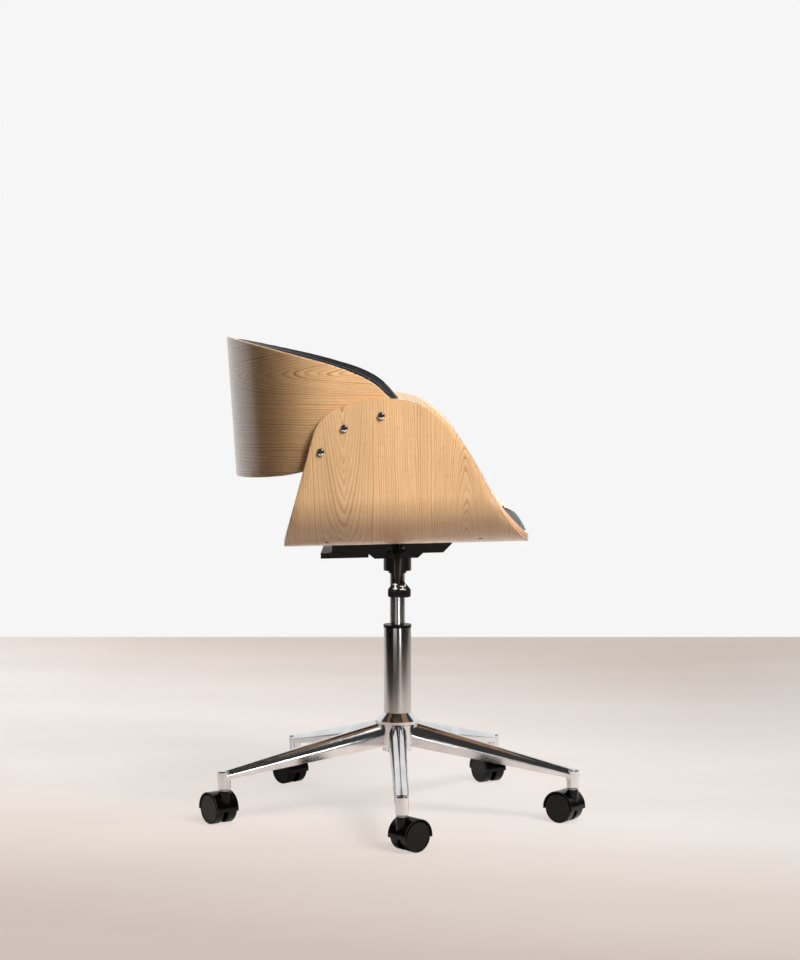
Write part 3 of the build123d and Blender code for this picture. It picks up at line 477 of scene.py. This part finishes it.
# Round the backrest: the plan is straight at the sides and half an ellipse behind, which leans back as it
# rises. Gives the distance round from its rear, the depth from its outer face and the outward normal.
def bandPlace(p):
    rise = (p[:, 2] - back["low"]) / (back["high"] - back["low"])
    reach = back["straight"] - (back["rear"] + (back["rearHigh"] - back["rear"]) * rise)
    behind = np.maximum(back["straight"] - p[:, 0], 0)
    turn = np.arctan2(behind / reach, np.abs(p[:, 1]) / back["half"])
    radius = np.hypot(behind / reach, p[:, 1] / back["half"])
    sideways = np.sign(p[:, 1]) * np.cos(turn) / back["half"]
    slope = np.stack([-np.sin(turn) / reach, sideways, 0 * turn], -1)
    size = np.linalg.norm(slope, axis=1)
    ahead = np.maximum(p[:, 0] - back["straight"], 0)
    length = turn * 0.5 * (reach + back["half"]) - ahead
    depth = np.where(behind > 0, (1 - radius) / np.maximum(size, tiny), back["half"] - np.abs(p[:, 1]))
    return math.pi / 2 * back["meanRadius"] - length, depth, slope / size[:, None]


def markWood(obj, grain, isEdge):  # the place in the sheet goes on the points, the cut edges on the faces
    grainData = obj.data.attributes.new("grain", "FLOAT_VECTOR", "POINT").data
    grainData.foreach_set("vector", grain.astype(np.float32).ravel())
    edgeData = obj.data.attributes.new("cutEdge", "FLOAT", "FACE").data
    edgeData.foreach_set("value", isEdge.astype(np.float32))


# Seat shell: its sheet is a grid. Rows go round the U from wing top to wing top; in each row the section runs
# over the outer face, round the front edge, back over the inner face and round the rear edge.
sheet = {"faceSteps": 24, "flatRows": 7, "bendRows": 30, "wingRows": 60, "skin": 0.3}
sheet.update({"middle": 0.01, "tip": 0.03, "narrowest": 0.9})
# share of the sheet's depth, and how far the cut edge's rounded corners lie back there
sheet["edge"] = np.array([
    (0.0, -1.1), (0.03, -0.35), (0.1, 0.0), (0.5, 0.0), (0.9, 0.0), (0.97, -0.35), (1.0, -1.1),
])
# distance along the sheet, front edge there, and how far the edge's inner side lies ahead of its outer side
sheet["front"] = np.array([
    (0, 229.6, 0), (182, 229.6, 0.5), (205, 223.8, 5), (218.6, 219, 5.5), (235, 211.8, 5.5),
    (251.4, 203.7, 5), (268, 193.8, 5), (284.3, 183.8, 4.5), (306, 171.5, 4), (328, 160.5, 3),
])
points, triangles = nodeMesh("seat_shell")
local = seatLocal(points)
along, depth, _ = troughPlace(local)
onOuter = depth < sheet["skin"]
nearSide = np.where(local[:, 1] > 0, -along, along)  # counted up toward the near wing's top
ends = np.concatenate([triangles[:, [i, i - 1]] for i in range(3)])
ends = ends[onOuter[ends].all(1)]
topAlong = along[onOuter].max() - sheet["tip"]
rows = np.concatenate([
    np.linspace(sheet["middle"], flat, sheet["flatRows"])[:-1],
    np.linspace(flat, quarter, sheet["bendRows"])[:-1],
    quarter + (topAlong - quarter) * np.sin(np.linspace(0, math.pi / 2, sheet["wingRows"])),
])
# each row's rear and front: the outermost places where the outer face's edges cross it
s0, s1 = nearSide[ends].T
x0, x1 = local[ends, 0].T
crosses = (np.minimum(s0, s1) <= rows[:, None]) & (np.maximum(s0, s1) >= rows[:, None])
share = np.clip((rows[:, None] - s0) / np.where(np.abs(s1 - s0) < 1e-9, 1, s1 - s0), 0, 1)
crossX = x0 + (x1 - x0) * share
rear = np.where(crosses, crossX, np.inf).min(1)
front = np.where(crosses, crossX, -np.inf).max(1)
# the front edge follows its own points, then runs into the wing's crown
frontAlong, frontX, frontBevel = sheet["front"].T
isLow = rows < frontAlong[-1]
fade = np.clip((topAlong - rows) / (topAlong - frontAlong[-1]), 0, 1)
step = np.interp(frontAlong[-1], rows, front) - frontX[-1]
front = np.where(isLow, np.interp(rows, frontAlong, frontX), front - step * fade)
bevel = np.where(isLow, np.interp(rows, frontAlong, frontBevel), frontBevel[-1] * fade)

faceShare = np.linspace(0, 1, sheet["faceSteps"])[1:-1]
edgeShare, edgeBack = sheet["edge"].T
half = (front - rear) / 2
backX = np.maximum(edgeBack, -half[:, None] * sheet["narrowest"])  # no corner passes the crown's middle
frontEdge = front[:, None] + bevel[:, None] * edgeShare + backX
rearEdge = rear[:, None] - backX[:, ::-1]
outerFace = rearEdge[:, -1:] + (frontEdge[:, :1] - rearEdge[:, -1:]) * faceShare
innerFace = frontEdge[:, -1:] + (rearEdge[:, :1] - frontEdge[:, -1:]) * faceShare
sectionX = np.concatenate([outerFace, frontEdge, innerFace, rearEdge], axis=1)
zeros, ones = np.zeros(len(faceShare)), np.ones(len(faceShare))
sectionDepth = seat["ply"] * np.concatenate([zeros, edgeShare, ones, edgeShare[::-1]])
isEdge = np.concatenate([zeros, np.ones(len(edgeShare)), zeros, np.ones(len(edgeShare))])
sections, columns = [], len(sectionDepth)
for side, order in ((-1, slice(None, None, -1)), (1, slice(None))):
    s = np.repeat(rows[order, None], columns, 1)
    d = np.repeat(sectionDepth[None], len(rows), 0)
    y, z = sheetPlace(s, side, d)
    sections.append(np.stack([sectionX[order], y, z, s, d], -1))
section = np.concatenate(sections)
grid = section.reshape(-1, 5)
faces = gridFaces(len(section), columns, (False, True))[:, ::-1]
caps = [list(range(columns)), list(range(len(grid) - 1, len(grid) - 1 - columns, -1))]
points, faces = seatWorld(grid[:, :3]), faces.tolist() + caps
seatShell = newPiece("seatShell", points, faces, "seat", wingWood, smoothAngle=50)
edgeFaces = isEdge * np.roll(isEdge, -1)
markWood(seatShell, grid[:, [0, 3, 4]], np.concatenate([np.tile(edgeFaces, len(section) - 1), np.ones(2)]))
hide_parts("seat_shell")

# Screw plugs: flat discs over the four screws in the bend, where the shell is drilled.
plugSpec = {"radius": 3.6, "lift": 0.12, "sides": 20}
screws = seatLocal(nodeMesh("cushion_screws")[0])
turn = np.linspace(0, 2 * math.pi, plugSpec["sides"], endpoint=False)
plugPoints, plugFaces = [], []
for signX in (-1, 1):
    for signY in (-1, 1):
        screw = screws[(screws[:, 0] * signX > 0) & (screws[:, 1] * signY > 0)]
        middleX = (screw[:, 0].min() + screw[:, 0].max()) / 2
        ringX = middleX + plugSpec["radius"] * np.cos(turn)
        ringAlong = np.median(troughPlace(screw)[0]) + plugSpec["radius"] * np.sin(turn)
        y, z = sheetPlace(ringAlong, signY, np.full(len(turn), -plugSpec["lift"]))
        plugFaces.append((len(turn) * len(plugFaces) + np.arange(len(turn)))[::signY])
        plugPoints.append(np.stack([ringX, y, z], -1))
plugPoints = seatWorld(np.concatenate(plugPoints))
newPiece("screwPlugs", plugPoints, plugFaces, "seat", finish["black_steel"])

# Backrest shell: the node's own surface; a face that looks well away from the sheet's normal is a cut edge.
cutFacing = 0.75
points, triangles = nodeMesh("backrest_shell")
backrestShell = newPiece("backrestShell", points, triangles, "seat", backWood)
local = seatLocal(points)
along, depth, _ = bandPlace(local)
facing = np.empty(len(triangles) * 3)
backrestShell.data.polygons.foreach_get("normal", facing)
outward = bandPlace(seatLocal(points[triangles].mean(1)))[2]
outward = (seatWorld(outward) - seatWorld(0 * outward)) / mm
likeness = np.abs((facing.reshape(-1, 3) * outward).sum(1))
markWood(backrestShell, np.stack([local[:, 2], along, depth], -1), likeness < cutFacing)
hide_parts("backrest_shell")

print("stage: padding")


# The node's solid remeshed fine, made smaller and swollen as stuffed cloth, then evened: points and faces.
def inflate(node, spec):
    points, triangles = nodeMesh(node)
    mesh = bpy.data.meshes.new(node + "Start")
    mesh.from_pydata(points.tolist(), [], triangles.tolist())
    start = bpy.data.objects.new(node + "Start", mesh)
    scene.collection.objects.link(start)
    remesh = start.modifiers.new("remesh", "REMESH")
    remesh.mode = "VOXEL"
    remesh.voxel_size = spec["voxel"] * mm
    fine = bpy.data.meshes.new_from_object(start.evaluated_get(bpy.context.evaluated_depsgraph_get()))
    start.modifiers.clear()
    start.data = fine
    count = len(fine.vertices)
    rest = np.empty(count * 3)
    fine.vertices.foreach_get("co", rest)
    normals = np.empty(count * 3)
    fine.vertices.foreach_get("normal", normals)
    rest = rest.reshape(-1, 3)
    hold = np.clip(spec["hold"](seatLocal(rest)), 0, 1)
    rest = rest - normals.reshape(-1, 3) * spec["shrink"] * mm * (1 - hold)[:, None]
    fine.vertices.foreach_set("co", rest.ravel())
    fine.update()
    swollen = rest
    group = start.vertex_groups.new(name="hold")
    for level in np.unique(np.round(hold, 1)):
        group.add(np.flatnonzero(np.round(hold, 1) == level).tolist(), float(level), "REPLACE")
    cloth = start.modifiers.new("cloth", "CLOTH")
    cloth.settings.use_pressure = True
    cloth.settings.uniform_pressure_force = spec["pressure"]
    cloth.settings.effector_weights.gravity = 0
    cloth.settings.vertex_group_mass = "hold"
    cloth.settings.tension_stiffness = spec["stiffness"]
    cloth.settings.compression_stiffness = spec["stiffness"]
    for step in range(1, spec["frames"] + 1):
        scene.frame_set(step)
    done = start.evaluated_get(bpy.context.evaluated_depsgraph_get()).to_mesh()
    swollen = np.empty(count * 3)
    done.vertices.foreach_get("co", swollen)
    swollen = swollen.reshape(-1, 3)
    start.modifiers.clear()
    scene.frame_set(1)
    ends = np.empty(len(fine.edges) * 2, dtype=np.int32)
    fine.edges.foreach_get("vertices", ends)
    ends = ends.reshape(-1, 2)
    weight = np.zeros(count)
    np.add.at(weight, ends.ravel(), 1)
    for _ in range(spec["smooth"]):  # each point moves toward the mean of its neighbours
        total = np.zeros((count, 3))
        np.add.at(total, ends[:, 0], swollen[ends[:, 1]])
        np.add.at(total, ends[:, 1], swollen[ends[:, 0]])
        swollen = (1 - spec["ease"]) * swollen + spec["ease"] * total / weight[:, None]
    move = swollen - rest
    length = np.linalg.norm(move, axis=1, keepdims=True)
    move = move * np.minimum(1, spec["cap"] * mm / np.maximum(length, 1e-9))
    move = np.nan_to_num(move) * (1 - hold)[:, None]
    print("padded", node, "points", count, "largest move mm", round(float(np.abs(move).max() / mm), 1))
    polygons = [list(p.vertices) for p in fine.polygons]
    bpy.data.objects.remove(start)
    return rest + move, polygons


def softPiece(name, node, points, faces):
    obj = newPiece(name, points, faces, "seat", vinyl, smoothAngle=60)
    rounder = obj.modifiers.new("rounder", "SUBSURF")
    rounder.levels = rounder.render_levels = 1
    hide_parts(node)


stuffing = {"voxel": 5.0, "pressure": 4.0, "stiffness": 15.0, "frames": 20, "ease": 0.6}
cushion = {**stuffing, "shrink": 3.0, "cap": 7.0, "smooth": 16, "base": 17.2, "held": 3.0, "free": 12.0}
cushion["clear"] = 0.3
# the underside and the sides in the bend stay on the board; the crown is free
cushion["hold"] = lambda p: 1 - (troughPlace(p)[1] - cushion["base"] - cushion["held"]) / cushion["free"]
points, cushionFaces = inflate("seat_cushion", cushion)
local = seatLocal(points)
_, depth, outward = troughPlace(local)
tooDeep = np.maximum(cushion["base"] + cushion["clear"] - depth, 0)
cushionPoints = seatWorld(local - outward * tooDeep[:, None])
softPiece("seatCushion", "seat_cushion", cushionPoints, cushionFaces)

# The cushion's vinyl is drawn round its board: the board's surface moved out along its normals.
coverSpec = {"thickness": 0.6}
points, triangles = nodeMesh("cushion_board")
first, second, third = points[triangles].transpose(1, 0, 2)
outward = np.cross(second - first, third - first)
outward /= np.linalg.norm(outward, axis=1, keepdims=True)
normals = np.zeros_like(points)
np.add.at(normals, triangles, outward[:, None])
normals /= np.linalg.norm(normals, axis=1, keepdims=True)
points = points + normals * coverSpec["thickness"] * mm
newPiece("boardCover", points, triangles, "seat", vinyl)

pad = {**stuffing, "shrink": 2.0, "cap": 8.0, "smooth": 8, "inset": 12.2, "held": 4.0, "free": 8.0}
pad.update({"lower": 5.5, "blend": 35.0, "topStep": 8.0})
# the pad's back stays on the wood; its face is free
pad["hold"] = lambda p: 1 - (bandPlace(p)[1] - pad["inset"] - pad["held"]) / pad["free"]
points, padFaces = inflate("backrest_pad", pad)
wood = seatLocal(nodeMesh("backrest_shell")[0])
woodStep = np.round(bandPlace(wood)[0] / pad["topStep"]).astype(int)
steps = np.unique(woodStep)
woodTop = np.array([wood[woodStep == step, 2].max() for step in steps])
local = seatLocal(points)
overTop = local[:, 2] - np.interp(bandPlace(local)[0], steps * pad["topStep"], woodTop)
nearTop = np.clip(1 + overTop / pad["blend"], 0, 1)
local[:, 2] -= pad["lower"] * nearTop**2  # its top lies level with the wood's edge
padPoints = seatWorld(local)
softPiece("backrestPad", "backrest_pad", padPoints, padFaces)

print("stage: welts")
downward = Vector((seatWorld(np.array([[0.0, 0.0, -1.0]])) - seatWorld(np.zeros((1, 3))))[0]).normalized()
aboveAll = 700.0


def dropOn(tree, plan):  # places under plan points of the seat, in its own mm, or nan with nothing below
    starts = seatWorld(np.column_stack([plan, np.full(len(plan), aboveAll)]))
    hits = [tree.ray_cast(Vector(s), downward)[0] for s in starts]
    return seatLocal(np.array([tuple(h) if h else (np.nan,) * 3 for h in hits]))


def evened(path, reach, closed):  # mean of each point and its neighbours on the path
    padded = np.pad(path, ((reach, reach), (0, 0)), mode="wrap" if closed else "edge")
    return np.mean([padded[i : i + len(path)] for i in range(2 * reach + 1)], axis=0)


# Welt round the cushion: on each ray from the seat's middle, the outermost place that the cushion covers.
weltSpec = {"rays": 240, "middle": (20.0, 0.0), "search": (60.0, 340.0), "halvings": 11, "even": 3}
weltSpec.update({"inset": 5.0, "radius": 1.9, "lift": 0.4, "sides": 8})
cushionTree = BVHTree.FromPolygons(cushionPoints.tolist(), cushionFaces)
ray = np.linspace(0, 2 * math.pi, weltSpec["rays"], endpoint=False)
away = np.column_stack([np.cos(ray), np.sin(ray)])
inside, outside = (np.full(len(ray), limit) for limit in weltSpec["search"])
for _ in range(weltSpec["halvings"]):
    middle = (inside + outside) / 2
    covered = ~np.isnan(dropOn(cushionTree, weltSpec["middle"] + away * middle[:, None])[:, 0])
    inside, outside = np.where(covered, middle, inside), np.where(covered, outside, middle)
path = dropOn(cushionTree, weltSpec["middle"] + away * (inside - weltSpec["inset"])[:, None])
path = evened(path, weltSpec["even"], True) + (0, 0, weltSpec["lift"])
points, faces = tube(seatWorld(path), weltSpec["radius"] * mm, weltSpec["sides"], True)
newPiece("cushionWelt", points, faces, "seat", vinyl, smoothAngle=60)

# Seam along the pad's top: the plan's ellipse and straight sides, set in from the wood by a steady depth.
seamSpec = {"depth": 19.0, "height": 0.75, "ahead": (95.0, 2.0), "bowSteps": 220, "sideSteps": 40, "even": 3}
seamSpec.update({"radius": 1.2, "lift": 0.3, "sides": 8})
padTree = BVHTree.FromPolygons(padPoints.tolist(), padFaces)
turn = np.linspace(0, math.pi, seamSpec["bowSteps"])
reach = back["straight"] - (back["rear"] + seamSpec["height"] * (back["rearHigh"] - back["rear"]))
inward = np.column_stack([np.sin(turn) / reach, np.cos(turn) / back["half"]])
inward /= np.linalg.norm(inward, axis=1, keepdims=True)
bow = np.column_stack([back["straight"] - reach * np.sin(turn), -back["half"] * np.cos(turn)])
bow = bow + inward * seamSpec["depth"]
ahead = np.linspace(*seamSpec["ahead"], seamSpec["sideSteps"])
sideY = back["half"] - seamSpec["depth"]
near = np.column_stack([back["straight"] + ahead, np.full(len(ahead), -sideY)])
path = dropOn(padTree, np.concatenate([near, bow, (near * (1, -1))[::-1]]))
path = evened(path[~np.isnan(path[:, 0])], seamSpec["even"], False) + (0, 0, seamSpec["lift"])
points, faces = tube(seatWorld(path), seamSpec["radius"] * mm, seamSpec["sides"], False)
newPiece("padSeam", points, faces, "seat", vinyl, smoothAngle=60)

print("stage: lever mark")
# White print flat on the paddle's sloping top: a plain arrow that points both ways and a plain chair.
markSpec = {"slope": math.radians(17.0), "middle": (3.5, -192.0), "lift": 0.15, "shift": (0.0, -7.0)}
markShapes = [
    [(-8.5, -8), (-5.5, -8), (-5.5, 8), (-8.5, 8)],  # arrow: shaft and two heads
    [(-12, 8), (-2, 8), (-7, 15)],
    [(-2, -8), (-12, -8), (-7, -15)],
    [(1, -1), (11, -1), (11, 2), (1, 2)],  # chair: seat, back, post and foot
    [(9, 2), (11, 2), (12, 14), (10, 14)],
    [(5, -12), (7, -12), (7, -1), (5, -1)],
    [(1, -15), (11, -15), (11, -12), (1, -12)],
]
slopeY, slopeZ = math.cos(markSpec["slope"]), math.sin(markSpec["slope"])
paddle = nodeMesh("lever_handle")[0] / mm
top = (paddle @ (0, -slopeZ, slopeY)).max() + markSpec["lift"]
middleX, middleY = markSpec["middle"]
middleZ = (top + slopeZ * middleY) / slopeY
acrossMark, upMark = (np.concatenate(markShapes) + markSpec["shift"]).T
points = np.stack([middleX + acrossMark, middleY + upMark * slopeY, middleZ + upMark * slopeZ], -1) * mm
corner = np.cumsum([0] + [len(shape) for shape in markShapes])
faces = [range(corner[i], corner[i + 1]) for i in range(len(markShapes))]
newPiece("leverMark", points, faces, "lever", finish["white_print"])

print("stage: set and light")


def plane(name, corners, material):
    mesh = bpy.data.meshes.new(name)
    mesh.from_pydata(corners, [], [(0, 1, 2, 3)])
    obj = bpy.data.objects.new(name, mesh)
    scene.collection.objects.link(obj)
    obj.data.materials.append(material)


# Pale floor: plaster-like ground with long warm clouds and a painted pool of light. It is brightest in the
# middle, with painted shade toward the camera, the wall and the sides, and a painted falloff from side to
# side. In mirror images the painted shade runs on to near black toward the camera. To the camera most of its
# tone glows evenly in these painted colours, so that only soft shadows show on it.
def paleFloor(name, spec):
    material, tree = newMaterial(name)
    place = addNode(tree, "ShaderNodeTexCoord").outputs["Object"]
    sideways, away, _ = addNode(tree, "ShaderNodeSeparateXYZ", {0: place}).outputs
    ray = addNode(tree, "ShaderNodeLightPath").outputs
    isCamera = ray["Is Camera Ray"]

    # painted pool of light: past its edge to the sides the floor counts as nearer, so the painted shade
    # closes in there
    toSide = addNode(tree, "ShaderNodeMath", {0: sideways}, operation="ABSOLUTE")
    outPool = addNode(tree, "ShaderNodeMath", {0: toSide, 1: spec["pool"]}, operation="SUBTRACT")
    onlyOut = addNode(tree, "ShaderNodeMath", {0: outPool, 1: 0.0}, operation="MAXIMUM")
    falling = {0: onlyOut, 1: -spec["fall"], 2: away}
    fallen = addNode(tree, "ShaderNodeMath", falling, operation="MULTIPLY_ADD")
    depthShare = addNode(tree, "ShaderNodeMapRange", {0: fallen, 1: spec["near"], 2: spec["far"]})
    # painted falloff from side to side: the pool leans a little
    across = {0: sideways, 1: -spec["half"], 2: spec["half"]}
    leaning = addNode(tree, "ShaderNodeMapRange", {**across, 3: -spec["lean"], 4: spec["lean"]})
    shifted = addNode(tree, "ShaderNodeMath", {0: depthShare, 1: leaning}, operation="ADD")
    pale = addNode(tree, "ShaderNodeMath", {0: shifted, 1: spec["palest"]}, operation="MAXIMUM")
    used = addNode(tree, "ShaderNodeMix", {0: isCamera, 2: shifted, 3: pale})
    # the ramp paints the pool of light and its shade; to the camera the nearest, darkest part is left out
    ground = addNode(tree, "ShaderNodeValToRGB", {0: used}, spec["paintedPoolTones"])

    scale = [1 / (s * mm) for s in spec["cloud"]] + [1.0]
    scaled = addNode(tree, "ShaderNodeVectorMath", {0: place, 1: scale}, operation="MULTIPLY")
    settings = {"Vector": scaled, "Scale": 1.0, "Detail": 6.0, "Roughness": 0.62}
    cloud = addNode(tree, "ShaderNodeTexNoise", settings)
    cloudDark, cloudPale = spec["mottle"]
    mottle = addNode(tree, "ShaderNodeMapRange", {0: cloud, 1: 0.3, 2: 0.7, 3: cloudDark, 4: cloudPale})
    # painted falloff from one side to the other
    left, right = spec["paintedSideFalloff"]
    paintedSideFalloff = addNode(tree, "ShaderNodeMapRange", {**across, 3: left, 4: right})
    toned = addNode(tree, "ShaderNodeMath", {0: mottle, 1: paintedSideFalloff}, operation="MULTIPLY")
    clouded = addNode(tree, "ShaderNodeVectorMath", {0: ground, 3: toned}, operation="SCALE")

    seenTone, bounceTone = spec["bounce"]
    bounce = addNode(tree, "ShaderNodeMapRange", {0: ray["Is Diffuse Ray"], 3: seenTone, 4: bounceTone})
    bounced = addNode(tree, "ShaderNodeVectorMath", {0: clouded, 3: bounce}, operation="SCALE")
    lit = addNode(tree, "ShaderNodeBsdfDiffuse", {"Color": bounced})
    even = addNode(tree, "ShaderNodeEmission", {"Color": clouded, "Strength": 1.0})
    share = addNode(tree, "ShaderNodeMath", {0: isCamera, 1: spec["even"]}, operation="MULTIPLY")
    shown = addNode(tree, "ShaderNodeMixShader", {0: share, 1: lit, 2: even})
    addNode(tree, "ShaderNodeOutputMaterial", {"Surface": shown})
    return material


# Backdrop: white wall, even to the camera and in mirrors, plain matt white to the rest, clear from behind.
def whiteWall(name, spec):
    material, tree = newMaterial(name)
    ray = addNode(tree, "ShaderNodeLightPath").outputs
    looks = {0: ray["Is Camera Ray"], 1: ray["Is Glossy Ray"]}
    isSeen = addNode(tree, "ShaderNodeMath", looks, operation="MAXIMUM")
    seen = addNode(tree, "ShaderNodeEmission", {"Color": linear(spec["seen"]), "Strength": 1.0})
    lit = addNode(tree, "ShaderNodeBsdfDiffuse", {"Color": linear(spec["matt"])})
    ahead = addNode(tree, "ShaderNodeMixShader", {0: isSeen, 1: lit, 2: seen})
    clear = addNode(tree, "ShaderNodeBsdfTransparent")
    isBehind = addNode(tree, "ShaderNodeNewGeometry").outputs["Backfacing"]
    shown = addNode(tree, "ShaderNodeMixShader", {0: isBehind, 1: ahead, 2: clear})
    addNode(tree, "ShaderNodeOutputMaterial", {"Surface": shown})
    return material


# places in m, clouds in mm
floorSpec = {
    "cloud": (1400.0, 420.0),
    "mottle": (0.955, 1.035),
    "near": -2.3,
    "far": 2.45,
    "side": 6.0,
    "half": 0.9,
    "lean": 0.08,
    # painted falloff from side to side
    "paintedSideFalloff": (1.1, 0.9),
    "bounce": (0.85, 0.55),
    "even": 0.8,
    "pool": 0.75,
    "fall": 1.3,
    "palest": 0.28,
    # painted pool of light and painted shade: near black toward the camera in mirror images, brightest in the
    # middle, a little darker toward the wall
    "paintedPoolTones": [
        (0.0, "#100f0e"),
        (0.12, "#2f2b29"),
        (0.19, "#847b74"),
        (0.27, "#cabcb4"),
        (0.38, "#ddd1c9"),
        (0.50, "#eee6e1"),
        (0.66, "#efe7e3"),
        (0.95, "#dbd0c8"),
    ],
}
wallSpec = {"height": 4.0, "seen": "#f6f6f6", "matt": "#f0f0f0"}
f, w, h = floorSpec["far"], floorSpec["side"], wallSpec["height"]
plane("floor", [(-w, -w, 0), (w, -w, 0), (w, w, 0), (-w, w, 0)], paleFloor("paleFloor", floorSpec))
plane("wall", [(-w, f, 0), (w, f, 0), (w, f, h), (-w, f, h)], whiteWall("whiteWall", wallSpec))

# Surroundings: dim for light and mirror images, white where the camera looks past the floor.
worldSpec = {"colour": "#f6f6f6", "dim": 0.05}
world = bpy.data.worlds.new("studio")
scene.world = world
world.use_nodes = True
tree = world.node_tree
isCamera = addNode(tree, "ShaderNodeLightPath").outputs["Is Camera Ray"]
strength = addNode(tree, "ShaderNodeMapRange", {0: isCamera, 3: worldSpec["dim"], 4: 1.0})
tree.links.new(strength.outputs[0], tree.nodes["Background"].inputs["Strength"])
tree.nodes["Background"].inputs["Color"].default_value = linear(worldSpec["colour"])


# Area light that faces a target, size in m and power in W. It may be left out of matt shading or of mirrors.
def softbox(name, place, target, size, power, spread=180, matt=True, mirrored=True):
    light = bpy.data.lights.new(name, "AREA")
    light.shape = "RECTANGLE"
    light.size, light.size_y = size
    light.energy = power
    light.spread = math.radians(spread)
    obj = bpy.data.objects.new(name, light)
    obj.location = place
    obj.visible_diffuse = matt
    obj.visible_glossy = mirrored
    obj.rotation_euler = (Vector(target) - Vector(place)).to_track_quat("-Z", "Y").to_euler()
    scene.collection.objects.link(obj)


lamps = {
    "key": {"place": (1.51, -1.74, 2.82), "target": (0, 0, 0.6), "size": (1.4, 1.4), "power": 62},
    "keySheen": {"place": (1.46, -1.68, 2.74), "target": (0, 0, 0.6), "size": (1.3, 1.3), "power": 9},
    "strip": {"place": (0.88, -2.02, 0.2), "target": (0, 0, 0.3), "size": (0.44, 0.2), "power": 3.2},
    "card": {"place": (-0.75, -2.05, 0.16), "target": (0, 0, 0.3), "size": (1.1, 0.22), "power": 0.7},
    "rim": {"place": (-2.4, 0.9, 1.3), "target": (-0.28, 0, 0.75), "size": (0.8, 1.2), "power": 6},
    "top": {"place": (0.2, 0.5, 3.4), "target": (0, 0.4, 0), "size": (3.0, 2.4), "power": 42},
}
lamps["key"]["spread"] = 100
lamps["keySheen"]["matt"] = False  # it stands a little nearer than key, which would hide it from mirrors
for name in ("key", "rim", "top"):
    lamps[name]["mirrored"] = False
for name, spec in lamps.items():
    softbox(name, **spec)

view = {"place": (0.0047, -4.059, 0.862), "down": 3.5, "lens": 83.25, "sensor": 36.0}
camera = bpy.data.cameras.new("camera")
camera.lens = view["lens"]
camera.sensor_width = view["sensor"]
cameraObject = bpy.data.objects.new("camera", camera)
cameraObject.location = view["place"]
cameraObject.rotation_euler = (math.radians(90 - view["down"]), 0, 0)
scene.collection.objects.link(cameraObject)
scene.camera = cameraObject

print("stage: finish")
